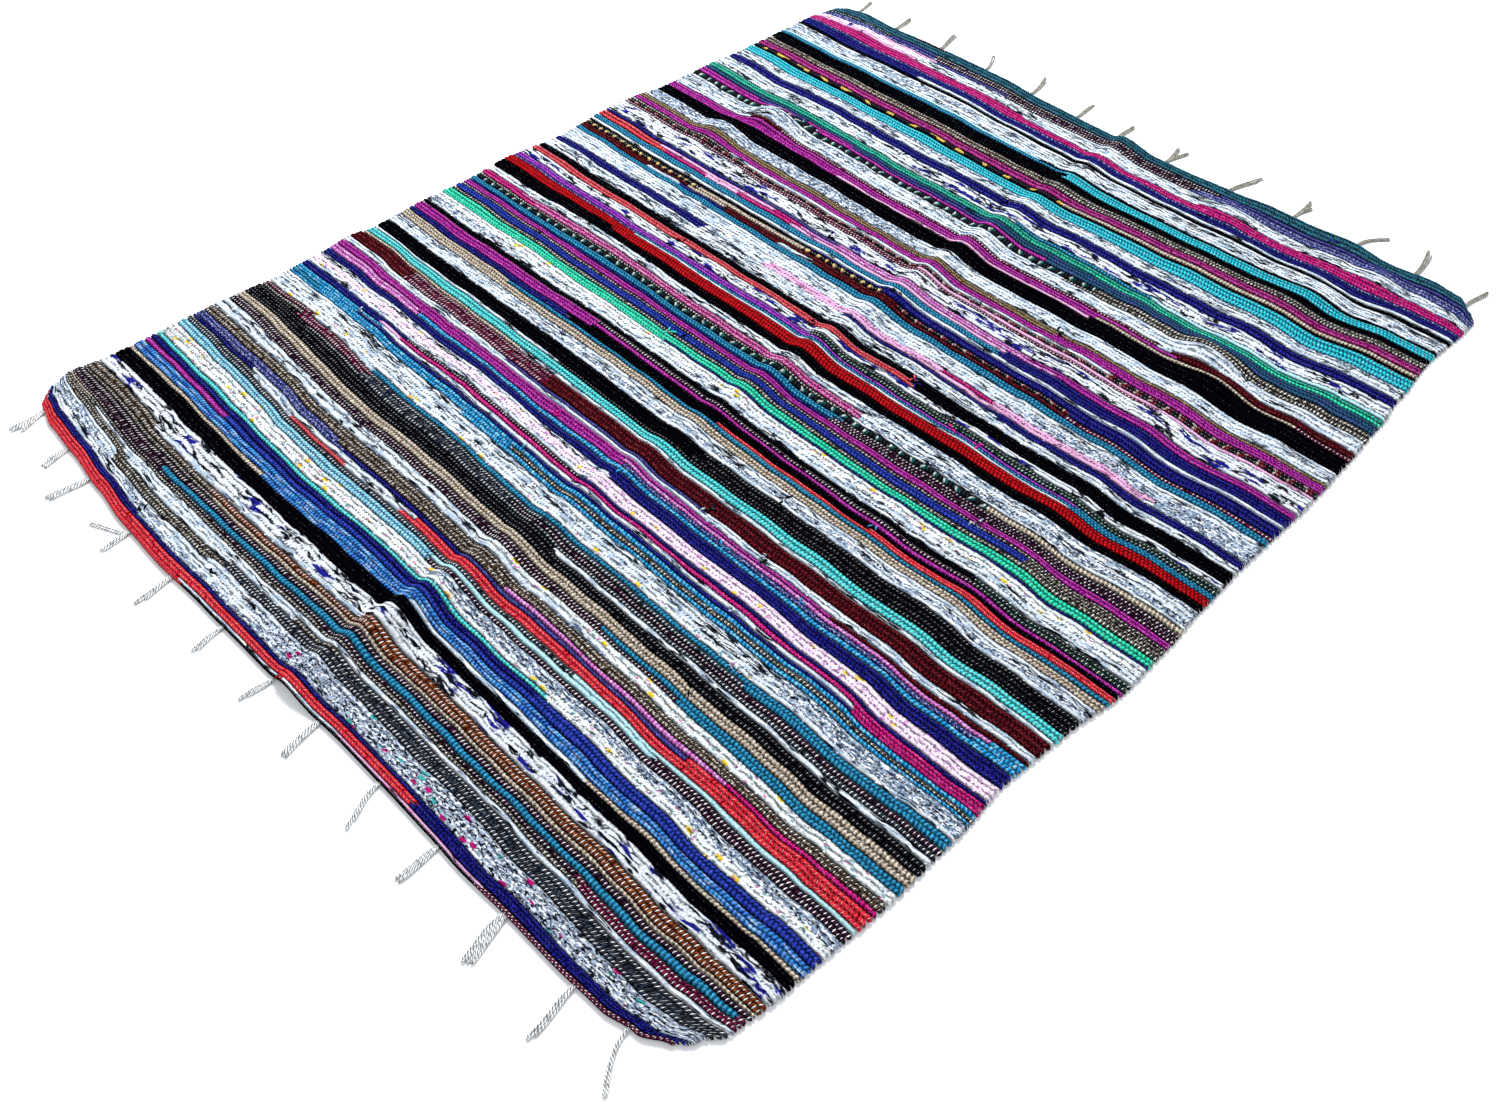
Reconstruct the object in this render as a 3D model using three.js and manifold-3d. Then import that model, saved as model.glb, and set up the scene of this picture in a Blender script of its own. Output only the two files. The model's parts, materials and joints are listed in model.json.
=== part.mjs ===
// A flat-woven rag rug lying on a floor: one cloth of cotton rags beaten onto cotton warps, with the
// ends of the warps gathered into tassels along both short ends.
//
// Millimetres, +Z up, the floor at z = 0. The origin is on the floor under the middle of the rug,
// +X runs across its width and +Y along its warps. The tables below count `across` from the left
// long edge and `along` from the near short end.

import * as THREE from 'three';
import { mergeVertices } from 'three/addons/utils/BufferGeometryUtils.js';
import Module from 'manifold-3d';

// ---- driving dimensions ----
const RUG_WIDTH = 1500;
const RUG_LENGTH = 1800;
const CLOTH = 7; // thickness of the beaten rags
const CORD = 5; // height of a tassel lying flat
const SEAT_GAP = 0.35; // between the rug's edge and a tassel's root
const COLUMN_STEP = 50; // spacing of the cloth's grid lines across the width
const ROW_STEP = 45; // and along the length
const TASSEL_STEPS = 6; // straight runs that make up a tassel's bend

// ---- the outline: how far each edge is drawn in (+) or bulges out (-) ----
const LONG_EDGES = [
  { along: 0, left: 30, right: 42 },
  { along: 25, left: 15, right: 26 },
  { along: 70, left: 2, right: 6 },
  { along: 160, left: 12, right: -1 },
  { along: 320, left: 11, right: -7 },
  { along: 440, left: 18, right: -4 },
  { along: 530, left: 14, right: 4 },
  { along: 590, left: 7, right: 1 },
  { along: 640, left: 16, right: -2 },
  { along: 750, left: 10, right: -14 },
  { along: 850, left: 13, right: -10 },
  { along: 930, left: 6, right: -3 },
  { along: 1050, left: 18, right: 2 },
  { along: 1190, left: 8, right: 2 },
  { along: 1240, left: 10, right: 4 },
  { along: 1310, left: 24, right: 9 },
  { along: 1420, left: 24, right: 17 },
  { along: 1500, left: 31, right: 28 },
  { along: 1620, left: 33, right: 40 },
  { along: 1710, left: 34, right: 37 },
  { along: 1770, left: 42, right: 38 },
  { along: 1800, left: 48, right: 52 },
];
const SHORT_EDGES = [
  { across: 0, near: 42, far: 36 },
  { across: 25, near: 26, far: 17 },
  { across: 70, near: 17, far: 7 },
  { across: 150, near: 12, far: 11 },
  { across: 250, near: 3, far: 5 },
  { across: 340, near: -5, far: 4 },
  { across: 450, near: -8, far: 4 },
  { across: 560, near: -4, far: 14 },
  { across: 700, near: -2, far: 18 },
  { across: 800, near: 0, far: 23 },
  { across: 900, near: 4, far: 22 },
  { across: 1010, near: 4, far: 15 },
  { across: 1090, near: 3, far: 5 },
  { across: 1160, near: 1, far: 5 },
  { across: 1250, near: 4, far: -3 },
  { across: 1330, near: 4, far: 9 },
  { across: 1410, near: 7, far: 0 },
  { across: 1460, near: 17, far: 7 },
  { across: 1500, near: 36, far: 36 },
];

// ---- the folds that the rug keeps from being stored folded in half and in half again ----
// The long fold runs the whole length, steep on its left and easy on its right.
const LONG_FOLD = { across: 767, left: 38, right: 68 };
const LONG_FOLD_HEIGHTS = [
  { along: 0, height: 12 },
  { along: 90, height: 18 },
  { along: 150, height: 22 },
  { along: 220, height: 20 },
  { along: 300, height: 16 },
  { along: 400, height: 9 },
  { along: 560, height: 7 },
  { along: 690, height: 5 },
  { along: 820, height: 9 },
  { along: 960, height: 11 },
  { along: 1030, height: 11 },
  { along: 1100, height: 9 },
  { along: 1240, height: 12 },
  { along: 1400, height: 12 },
  { along: 1550, height: 6 },
  { along: 1670, height: 8 },
  { along: 1800, height: 11 },
];
// Soft bumps where the cross folds lift the cloth: centre, height, and reach on each side.
const BUMPS = [
  { across: 262, along: 1372, height: 24, left: 70, right: 95, near: 60, far: 50 },
  { across: 222, along: 1282, height: 15, left: 65, right: 80, near: 75, far: 60 },
  { across: 1205, along: 1378, height: 16, left: 65, right: 95, near: 60, far: 45 },
  { across: 1262, along: 1335, height: 8, left: 85, right: 85, near: 45, far: 45 },
  { across: 1298, along: 1722, height: 12, left: 60, right: 60, near: 60, far: 75 },
  { across: 1258, along: 1634, height: 7, left: 60, right: 70, near: 45, far: 45 },
  { across: 1018, along: 1716, height: 9, left: 55, right: 70, near: 60, far: 60 },
  { across: 165, along: 1728, height: 8, left: 70, right: 80, near: 60, far: 60 },
];

// ---- the tassels: where each is rooted, how far its tip leans and reaches, and its width ----
// bow is the sideways bend half way; a second strand that parts from the first is a row in FORKS.
const NEAR_TASSELS = [
  { across: 60, lean: 3, reach: 58, width: 14, bow: 6 },
  { across: 160, lean: 10, reach: 44, width: 13, bow: 0 },
  { across: 241, lean: -5, reach: 64, width: 13, bow: -4 },
  { across: 378, lean: 5, reach: 50, width: 9, bow: 1 },
  { across: 495, lean: 9, reach: 64, width: 10, bow: 3 },
  { across: 621, lean: 9, reach: 52, width: 9, bow: 0 },
  { across: 742, lean: -1, reach: 52, width: 9, bow: -3 },
  { across: 841, lean: 13, reach: 62, width: 11, bow: -2 },
  { across: 969, lean: 29, reach: 68, width: 8, bow: -2 },
  { across: 1089, lean: 3, reach: 63, width: 11, bow: 2 },
  { across: 1214, lean: 17, reach: 70, width: 17, bow: 3 },
  { across: 1334, lean: 13, reach: 78, width: 9, bow: 6 },
  { across: 1412, lean: 44, reach: 72, width: 6, bow: -5 },
];
const FAR_TASSELS = [
  { across: 87, lean: -10, reach: 52, width: 7, bow: 2 },
  { across: 187, lean: -6, reach: 54, width: 10, bow: 2 },
  { across: 303, lean: -15, reach: 66, width: 10, bow: -6 },
  { across: 417, lean: -25, reach: 56, width: 7, bow: 1 },
  { across: 535, lean: -17, reach: 68, width: 9, bow: 2 },
  { across: 646, lean: -2, reach: 62, width: 8, bow: -2 },
  { across: 741, lean: 0, reach: 58, width: 9, bow: -1 },
  { across: 850, lean: -9, reach: 60, width: 8, bow: 0 },
  { across: 981, lean: 21, reach: 74, width: 10, bow: 4 },
  { across: 1103, lean: -3, reach: 62, width: 8, bow: 3 },
  { across: 1222, lean: 34, reach: 56, width: 8, bow: -6 },
  { across: 1331, lean: -16, reach: 78, width: 10, bow: 3 },
  { across: 1429, lean: 10, reach: 62, width: 8, bow: 0 },
];
const FORKS = [
  { tassel: 'tassel_near_01', lean: 16, reach: 48, width: 7, bow: 5 },
  { tassel: 'tassel_near_04', lean: -56, reach: 32, width: 7, bow: -4 },
  { tassel: 'tassel_far_08', lean: 13, reach: 57, width: 8, bow: 1 },
  { tassel: 'tassel_far_10', lean: 10, reach: 46, width: 7, bow: -3 },
];

// Reads one column of a station table at `place`, easing smoothly from station to station.
function read(table, key, column, place) {
  const next = table.findIndex((row) => row[key] >= place);
  if (next < 0) return table[table.length - 1][column];
  if (next === 0) return table[0][column];
  const [before, after] = [table[next - 1], table[next]];
  const ease = THREE.MathUtils.smoothstep(place, before[key], after[key]);
  return THREE.MathUtils.lerp(before[column], after[column], ease);
}

// A rounded bump that is 1 at its centre and 0 where it runs out on either side.
function bump(distance, reachDown, reachUp) {
  const share = Math.min(Math.abs(distance) / (distance < 0 ? reachDown : reachUp), 1);
  return (1 + Math.cos(Math.PI * share)) / 2;
}

// How high the folds lift the cloth's underside off the floor.
function lift(across, along) {
  const crest = read(LONG_FOLD_HEIGHTS, 'along', 'height', along);
  let height = crest * bump(across - LONG_FOLD.across, LONG_FOLD.left, LONG_FOLD.right);
  for (const b of BUMPS) {
    const rise = b.height * bump(across - b.across, b.left, b.right) * bump(along - b.along, b.near, b.far);
    height = Math.max(height, rise);
  }
  return height;
}

// Where a point of the straight rectangle lies on the real outline.
function place(across, along) {
  const left = read(LONG_EDGES, 'along', 'left', along);
  const right = RUG_WIDTH - read(LONG_EDGES, 'along', 'right', along);
  const near = read(SHORT_EDGES, 'across', 'near', across);
  const far = RUG_LENGTH - read(SHORT_EDGES, 'across', 'far', across);
  return {
    across: THREE.MathUtils.lerp(left, right, across / RUG_WIDTH),
    along: THREE.MathUtils.lerp(near, far, along / RUG_LENGTH),
  };
}

// Grid lines at an even step, with one more through every crest so that its full height shows.
function gridLines(length, step, crests) {
  const count = Math.round(length / step);
  const lines = Array.from({ length: count + 1 }, (_, i) => (i * length) / count);
  for (const crest of crests) {
    const closest = lines.reduce((a, b) => (Math.abs(b - crest) < Math.abs(a - crest) ? b : a));
    if (Math.abs(closest - crest) > step / 4) lines.push(crest);
  }
  return lines.sort((a, b) => a - b);
}

const foldLines = [-LONG_FOLD.left, -LONG_FOLD.left / 2, 0, LONG_FOLD.right / 2, LONG_FOLD.right];
const COLUMNS = gridLines(RUG_WIDTH, COLUMN_STEP, [
  ...foldLines.map((offset) => LONG_FOLD.across + offset),
  ...BUMPS.map((b) => b.across),
]);
const ROWS = gridLines(RUG_LENGTH, ROW_STEP, BUMPS.map((b) => b.along));

// The cloth: a grid of points on its underside, the same grid one thickness higher, and a rim.
function clothGeometry() {
  const positions = [];
  for (const layer of [0, CLOTH]) {
    for (const row of ROWS) {
      for (const column of COLUMNS) {
        const { across, along } = place(column, row);
        positions.push(across - RUG_WIDTH / 2, along - RUG_LENGTH / 2, lift(across, along) + layer);
      }
    }
  }
  const top = ROWS.length * COLUMNS.length;
  const lastColumn = COLUMNS.length - 1;
  const lastRow = ROWS.length - 1;
  const at = (column, row) => row * COLUMNS.length + column;
  const triangles = [];
  for (let row = 0; row < lastRow; row++) {
    for (let column = 0; column < lastColumn; column++) {
      const [a, b] = [at(column, row), at(column + 1, row)];
      const [d, c] = [at(column, row + 1), at(column + 1, row + 1)];
      triangles.push(top + a, top + b, top + c, top + a, top + c, top + d);
      triangles.push(a, c, b, a, d, c);
    }
  }
  const rim = [];
  for (let column = 0; column < lastColumn; column++) rim.push(at(column, 0));
  for (let row = 0; row < lastRow; row++) rim.push(at(lastColumn, row));
  for (let column = lastColumn; column > 0; column--) rim.push(at(column, lastRow));
  for (let row = lastRow; row > 0; row--) rim.push(at(0, row));
  rim.forEach((a, i) => {
    const b = rim[(i + 1) % rim.length];
    triangles.push(a, b, top + b, a, top + b, top + a);
  });
  const geometry = new THREE.BufferGeometry();
  geometry.setAttribute('position', new THREE.Float32BufferAttribute(positions, 3));
  geometry.setIndex(triangles);
  geometry.computeVertexNormals();
  return geometry;
}

// How far a short end of the cloth bulges out past its straight line, at most, behind a tassel.
function endBulge(end, across, width) {
  const side = end === 'near' ? 0 : RUG_LENGTH;
  const edge = COLUMNS.map((column) => {
    const point = place(column, side);
    return { across: point.across, bulge: end === 'near' ? -point.along : point.along - RUG_LENGTH };
  });
  const bulgeAt = (spot) => {
    const next = Math.max(1, edge.findIndex((point) => point.across >= spot));
    const [a, b] = [edge[next - 1], edge[next]];
    return THREE.MathUtils.mapLinear(spot, a.across, b.across, a.bulge, b.bulge);
  };
  const behind = edge.filter((point) => Math.abs(point.across - across) < width / 2);
  const corners = [bulgeAt(across - width / 2), bulgeAt(across + width / 2)];
  return Math.max(...corners, ...behind.map((point) => point.bulge));
}

// One strand of a tassel: a flat bundle of cords that leaves the root straight and then bends.
function strandGeometry(root, outward, strand) {
  const step = (sideways, out) => root.clone().add(new THREE.Vector3(sideways, outward * out, 0));
  const path = new THREE.CubicBezierCurve3(
    root,
    step(0, strand.reach * 0.3),
    step(strand.lean * 0.5 + strand.bow, strand.reach * 0.6),
    step(strand.lean, strand.reach),
  );
  const [half, side, shoulder] = [CORD / 2, strand.width / 2, strand.width * 0.3];
  const section = new THREE.Shape([
    new THREE.Vector2(-half, -shoulder),
    new THREE.Vector2(0, -side),
    new THREE.Vector2(half, -shoulder),
    new THREE.Vector2(half, shoulder),
    new THREE.Vector2(0, side),
    new THREE.Vector2(-half, shoulder),
  ]);
  return new THREE.ExtrudeGeometry(section, { extrudePath: path, steps: TASSEL_STEPS });
}

// Joins two strands that part from one root into a single solid.
const manifold = await Module();
manifold.setup();

function solidOf(geometry) {
  geometry.deleteAttribute('normal');
  geometry.deleteAttribute('uv');
  const merged = mergeVertices(geometry, 1e-4);
  return new manifold.Manifold(
    new manifold.Mesh({
      numProp: 3,
      vertProperties: new Float32Array(merged.attributes.position.array),
      triVerts: new Uint32Array(merged.index.array),
    }),
  );
}

function join(one, other) {
  const mesh = solidOf(one).add(solidOf(other)).getMesh();
  const geometry = new THREE.BufferGeometry();
  geometry.setAttribute('position', new THREE.Float32BufferAttribute(mesh.vertProperties, 3));
  geometry.setIndex([...mesh.triVerts]);
  geometry.computeVertexNormals();
  return geometry;
}

// A tassel rooted against a short end of the cloth.
function tasselGeometry(end, name, tassel) {
  const outward = end === 'near' ? -1 : 1;
  const rootOut = RUG_LENGTH / 2 + endBulge(end, tassel.across, tassel.width) + SEAT_GAP;
  const root = new THREE.Vector3(tassel.across - RUG_WIDTH / 2, outward * rootOut, CORD / 2);
  const fork = FORKS.find((row) => row.tassel === name);
  const strand = strandGeometry(root, outward, tassel);
  return fork ? join(strand, strandGeometry(root, outward, fork)) : strand;
}

const cotton = new THREE.MeshStandardMaterial({ color: 0xe6e3dc, roughness: 0.95, metalness: 0 });
const rags = new THREE.MeshStandardMaterial({ color: 0x8b8797, roughness: 0.95, metalness: 0 });

const group = new THREE.Group();

function addPiece(name, geometry, material) {
  const mesh = new THREE.Mesh(geometry, material);
  mesh.name = name;
  group.add(mesh);
}

addPiece('rug', clothGeometry(), rags);
for (const [end, table] of [['near', NEAR_TASSELS], ['far', FAR_TASSELS]]) {
  table.forEach((tassel, i) => {
    const name = `tassel_${end}_${String(i + 1).padStart(2, '0')}`;
    addPiece(name, tasselGeometry(end, name, tassel), cotton);
  });
}

export default group;
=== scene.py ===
# %% [markdown]
# # A rag rug on a studio floor
# This lesson dresses the plain solids of a flat-woven rag rug: strips of old cloth beaten row by
# row onto thin cotton warps, with the warp ends knotted into tassels along both short ends.
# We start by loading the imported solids. Everything below is built around them, in metres, with
# the origin on the floor under the middle of the rug, +X across it and +Y along its warps.

# %% Load the frame
import json
import math

import bpy
import numpy as np
from mathutils import Matrix, Vector

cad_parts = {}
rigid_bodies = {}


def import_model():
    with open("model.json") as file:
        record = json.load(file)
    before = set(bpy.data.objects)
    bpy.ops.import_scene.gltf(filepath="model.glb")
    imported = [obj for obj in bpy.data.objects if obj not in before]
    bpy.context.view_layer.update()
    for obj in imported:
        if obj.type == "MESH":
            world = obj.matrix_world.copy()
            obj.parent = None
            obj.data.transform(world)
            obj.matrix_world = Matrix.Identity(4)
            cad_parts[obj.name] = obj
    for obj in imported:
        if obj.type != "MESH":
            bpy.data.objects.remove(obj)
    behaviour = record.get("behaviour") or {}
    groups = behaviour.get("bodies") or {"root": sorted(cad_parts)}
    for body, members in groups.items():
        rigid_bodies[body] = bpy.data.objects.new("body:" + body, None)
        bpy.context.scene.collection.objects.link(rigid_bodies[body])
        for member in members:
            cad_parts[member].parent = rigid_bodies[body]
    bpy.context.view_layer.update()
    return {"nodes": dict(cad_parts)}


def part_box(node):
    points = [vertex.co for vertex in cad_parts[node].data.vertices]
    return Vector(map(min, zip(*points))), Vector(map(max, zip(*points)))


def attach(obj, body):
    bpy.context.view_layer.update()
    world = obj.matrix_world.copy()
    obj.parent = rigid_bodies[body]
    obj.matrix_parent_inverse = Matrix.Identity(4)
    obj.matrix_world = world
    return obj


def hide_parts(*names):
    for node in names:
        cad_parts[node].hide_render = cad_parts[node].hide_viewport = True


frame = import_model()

chance = np.random.default_rng(11)  # one seeded source, so the rug comes out the same every time
FULL_TURN = 6.3  # a full turn in radians, from which the waves draw their starting points
print("solids:", len(frame["nodes"]))

# %% [markdown]
# ## The size of the rug and the shape it lies in
# A weaver would give the width between the selvedges, the length between the two ends, and how
# thick the beaten rags are. The tables are in millimetres, counted `across` from the left
# selvedge and `along` from the near end, and are the ones the solids were made from: how far
# each edge is drawn in, and where old folds still lift the cloth off the floor. One long fold
# runs the whole length, where the rug was folded in half, and cross folds left soft bumps.

# %% Sizes and tables
MM = 0.001
WIDTH, LENGTH = 1500.0, 1800.0
CLOTH = 7.0

LONG_EDGES = np.array([  # along, left drawn in, right drawn in
    (0, 30, 42), (25, 15, 26), (70, 2, 6), (160, 12, -1), (320, 11, -7), (440, 18, -4), (530, 14, 4),
    (590, 7, 1), (640, 16, -2), (750, 10, -14), (850, 13, -10), (930, 6, -3), (1050, 18, 2),
    (1190, 8, 2), (1240, 10, 4), (1310, 24, 9), (1420, 24, 17), (1500, 31, 28), (1620, 33, 40),
    (1710, 34, 37), (1770, 42, 38), (1800, 48, 52)], float)
SHORT_EDGES = np.array([  # across, near drawn in, far drawn in
    (0, 42, 36), (25, 26, 17), (70, 17, 7), (150, 12, 11), (250, 3, 5), (340, -5, 4),
    (450, -8, 4), (560, -4, 14), (700, -2, 18), (800, 0, 23), (900, 4, 22), (1010, 4, 15),
    (1090, 3, 5), (1160, 1, 5), (1250, 4, -3), (1330, 4, 9), (1410, 7, 0), (1460, 17, 7),
    (1500, 36, 36)], float)
FOLD_ACROSS, FOLD_LEFT, FOLD_RIGHT = 767, 38, 68
FOLD_HEIGHTS = np.array([  # along, height of the long fold
    (0, 12), (90, 18), (150, 22), (220, 20), (300, 16), (400, 9), (560, 7), (690, 5), (820, 9),
    (960, 11), (1030, 11), (1100, 9), (1240, 12), (1400, 12), (1550, 6), (1670, 8), (1800, 11)], float)
BUMPS = [  # across, along, height, and the reach left, right, near and far
    (262, 1372, 24, 70, 95, 60, 50), (222, 1282, 15, 65, 80, 75, 60),
    (1205, 1378, 16, 65, 95, 60, 45), (1262, 1335, 8, 85, 85, 45, 45),
    (1298, 1722, 12, 60, 60, 60, 75), (1258, 1634, 7, 60, 70, 45, 45),
    (1018, 1716, 9, 55, 70, 60, 60), (165, 1728, 8, 70, 80, 60, 60)]
print("stations of the edges:", len(LONG_EDGES), "and", len(SHORT_EDGES), "| bumps:", len(BUMPS))

# %% [markdown]
# ## Reading the tables
# A table gives its values at a few stations. Between two stations the value eases from one to the
# other, so that an edge swings in and out without a kink, and a fold or a bump falls away in a
# cosine to either side. `lay` is the one that the rest of the lesson leans on: the rug is woven
# straight and flat, as on the loom, and `lay` takes every point of it to its place on the floor.

# %% Reading the tables
CORNER, CORNER_REACH = 70, 110  # the part of an edge that is corner, and how far in it is felt


def read(table, column, spots):
    """Reads a column of a table at many spots, easing from one station to the next."""
    stations, values = table[:, 0], table[:, column]
    i = np.clip(np.searchsorted(stations, spots) - 1, 0, len(stations) - 2)
    share = np.clip((spots - stations[i]) / (stations[i + 1] - stations[i]), 0, 1)
    share = share * share * (3 - 2 * share)
    return values[i] + (values[i + 1] - values[i]) * share


def bump(distance, down, up):
    """A hill of height 1 that reaches `down` to one side of its top and `up` to the other."""
    share = np.minimum(np.abs(distance) / np.where(distance < 0, down, up), 1)
    return (1 + np.cos(np.pi * share)) / 2


def lift(across, along):
    """How high the folds hold the cloth off the floor, in millimetres."""
    height = read(FOLD_HEIGHTS, 1, along) * bump(across - FOLD_ACROSS, FOLD_LEFT, FOLD_RIGHT)
    for a, b, rise, left, right, near, far in BUMPS:
        height = np.maximum(height, rise * bump(across - a, left, right) * bump(along - b, near, far))
    return height


def lay(across, along, above):
    """Takes a place on the straight rug, and a height above its underside, to metres on the floor."""
    left, right = read(LONG_EDGES, 1, along), WIDTH - read(LONG_EDGES, 2, along)
    inner = np.clip(across, CORNER, WIDTH - CORNER)
    near, far = read(SHORT_EDGES, 1, inner), LENGTH - read(SHORT_EDGES, 2, inner)
    x = left + (right - left) * across / WIDTH
    y = near + (far - near) * along / LENGTH
    for column, reach in ((1, along), (2, LENGTH - along)):  # the rounding of the four corners
        corner = read(SHORT_EDGES, column, across) - read(SHORT_EDGES, column, inner)
        y = y + corner * np.clip(1 - reach / CORNER_REACH, 0, 1) * (1 if column == 1 else -1)
    return np.stack([x - WIDTH / 2, y - LENGTH / 2, lift(x, y) + above], axis=-1) * MM


highest = FOLD_HEIGHTS[FOLD_HEIGHTS[:, 1].argmax(), 0]
print("lift of the long fold at its highest:", round(float(lift(FOLD_ACROSS, highest)), 1), "mm")

# %% [markdown]
# ## The weaver's chart
# A rag rug has no drawn pattern. Its stripes are the order in which the weaver picked up rags,
# and where one ran out in mid row the next was laid in. So the chart is written the way a weaver
# would note it: how far the cloth had grown, in millimetres from the near end, then the rags from
# left to right with the place across where each one ends. `199/3` means three even rows.

# %% The chart
# In the first row the black run from 505 to 1190 is partly a dark header cord and partly painted shadow
# along the near edge, where the rug meets the floor.
CHART = """
1.5 red 505 black 1190 maroon
6 red 505 white 900 blush 1190 maroon
20/2 red 1035 navy
27 navy
34 navy 355 denim 740 print
41 white 720 print
48 lined 270 denim 390 lined 690 print
56 denim 165 white 640 print
64 denim 165 white 230 tweed 500 white 690 print
71 white 230 tweed 540 slate
79 tweed 240 white 400 lined 540 slate
87 tweed 240 white 690 tweed 800 slate
94 tweed 110 white
101 beige 75 tweed 1250 maroon
107 aubergine 1250 maroon
118 aubergine 300 teal 1490 maroon
127 aubergine
133 tweed 400 beige
142 taupe 380 brown
152 taupe 200 white 735 brown
162 dash
177/2 dash
184 black 740 dash
199/2 black
206 beige 420 cobalt 760 white 1130 beige
222/2 cobalt
231 magenta 250 royal
239 navy 1000 royal
246 aqua 1000 floral
254 floral
270/2 floral 740 denim
278 powder 700 aubergine
286 powder 700 pale 1180 aubergine
293 slate 990 pale
300 slate 220 white 330 coral 470 white 600 red
307 navy 200 white 640 red
314 periwinkle 430 navy 740 violet 1200 red
322 periwinkle 430 taupe 820 orchid 1250 hot_pink
336/2 taupe
346 white 1000 floral
355 lined 760 floral
362 aubergine 1130 teal
370 aubergine 960 teal
387/2 beige
403/2 jet
411 jet 800 lined
418 jet 150 slate
426 jet 120 maroon 320 slate 700 aubergine
434 tweed 120 maroon 330 slate 1160 teal
442 maroon 150 white 330 teal
450 floral 1160 white
458 white 1200 denim
475/2 lined 1200 denim
482 lined 500 sky
489 sky 620 tweed
497 teal 80 sky
503 sky 190 navy 1290 hot_pink
510 sky 240 white 1290 hot_pink
518 navy 240 blush 300 hot_pink
523 navy 300 aubergine 730 navy
530 white 760 pink_floral
545/2 pink_floral
552 lined 780 navy
564/2 navy
572 orchid 255 sky
579 orchid 255 magenta 760 periwinkle 1440 sky
586 magenta 760 orchid 1440 sky
592 magenta 1180 crimson
598 white
604 white 450 violet 920 white
622/2 crimson 160 maroon 540 crimson
630 crimson 160 maroon 540 crimson
636 beige 450 lined
653/2 aqua
658 white 520 jet
683/3 black 820 jet
690 white
697 white 350 denim
704 lined
711 denim 500 white
728/2 beige
736 beige 300 teal
742 navy 430 black 770 red
748 navy 430 black 1100 red
755 magenta 475 black
763 magenta
770 magenta 475 aubergine 1245 forest
778 black 1245 forest
786 lined
795 denim 200 white
811/2 floral
814 mint 590 navy
829/2 mint
837 tweed
850/2 royal 1280 tweed
855 tweed
867/2 magenta
871 navy 900 aubergine
884/2 teal 900 aubergine
895 check 1180 beige
900 tweed 930 lined
908 hot_pink 150 dusty 930 denim
916 hot_pink 110 dusty 930 lined
924 lined
932 lined 930 denim
948/2 black
956 black 300 scarlet
971/2 scarlet
975 scarlet 340 white 1250 teal
980 periwinkle 350 teal
986 purple 1270 teal
993 purple 740 forest
1000 dash 740 forest
1012/2 dash
1025/2 coral 930 black
1035 black
1050/2 lined
1057 lined 1070 navy
1063 navy 410 lined 740 navy
1071 navy 410 white 560 blush 1340 denim
1078 white 560 blush 940 hot_pink 1060 blush 1340 denim
1093/2 white 1100 denim
1108/2 white 1100 lined
1121/2 teal
1129 crimson 190 white 280 navy 410 crimson 540 white 600 crimson 1140 maroon
1137 crimson 290 beige 400 crimson 780 red_dot 1150 navy
1148 gold_check 320 beige 580 gold_check 740 navy
1153 black 580 navy
1160 white
1172/2 teal 980 navy
1180 red 180 hot_pink 300 blush 380 hot_pink 520 blush 980 navy
1187 coral 180 blush 450 hot_pink 520 orchid 1080 magenta
1194 navy 440 violet 620 orchid 1030 magenta
1202 dash
1224/3 dash
1229 lined 330 maroon 1240 lined
1237 maroon 740 blush
1245 red_dot
1252 tweed 285 white 1140 red_dot
1266/2 magenta
1272 khaki 1010 magenta
1279 khaki
1307/4 denim 700 white
1336/3 black
1342 magenta 450 blush 1020 black
1349 magenta 1020 beige 1400 maroon
1357 magenta 1180 crimson
1362 white 205 crimson 290 maroon 1140 white 1180 crimson
1379/2 white
1388 denim 500 white
1396 lined 940 tweed
1410 check 1000 tweed
1419 magenta 260 check 320 magenta 880 steel
1427 magenta 160 violet 300 magenta 400 violet 740 steel
1435 steel
1443 jade 980 mint
1451 jade
1458 lined 790 teal 1080 pale
1464 white 480 dash
1473 lined 480 dash
1481 white 330 dash
1499/2 navy
1507 white
1515 lined
1522 denim
1546/3 turquoise
1550 black
1560 yellow_block 800 beige
1578/2 plum
1586 taupe 740 tweed
1594 taupe 740 tweed
1607/2 black
1614 black 760 turquoise
1621 black 760 turquoise
1630 teal 760 turquoise
1635 pale 700 black
1643 white
1651 lined
1664/2 denim 500 lined
1672 lined
1680 black
1688 navy 320 white
1702/2 navy
1706 periwinkle
1720/2 hot_pink
1728 hot_pink 590 white 970 hot_pink
1735 blush 280 lined
1750/2 pink_floral 280 lined
1758 periwinkle 150 blush 300 violet 500 aubergine 950 periwinkle
1767 periwinkle 300 aubergine 950 periwinkle
1776 forest 180 violet 300 aubergine 1000 violet
1792/2 petrol
1800 petrol 230 aubergine 290 petrol
"""
print("lines in the chart:", len(CHART.strip().split("\n")))

# %% [markdown]
# ## Reading the chart
# Line by line the chart turns into the far edge of every row and the rags that lie in it. Where a
# line stands for several rows, they share its millimetres evenly.

# %% Reading the chart
def read_chart(text):
    """The far edge of every row, and its rags as (name, place where it ends)."""
    edges, rows = [0.0], []
    for line in text.split("\n"):
        words = line.split()
        if not words:
            continue
        grown, _, count = words[0].partition("/")
        rags = list(zip(words[1::2], [float(w) for w in words[2::2]] + [WIDTH]))
        start, count = edges[-1], int(count or 1)
        for k in range(count):
            edges.append(start + (float(grown) - start) * (k + 1) / count)
            rows.append(rags)
    return np.array(edges), rows


row_edges, row_rags = read_chart(CHART)
ROWS = len(row_rags)
print("rows of rag:", ROWS, "with an average of", round(LENGTH / ROWS, 1), "mm each")

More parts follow.
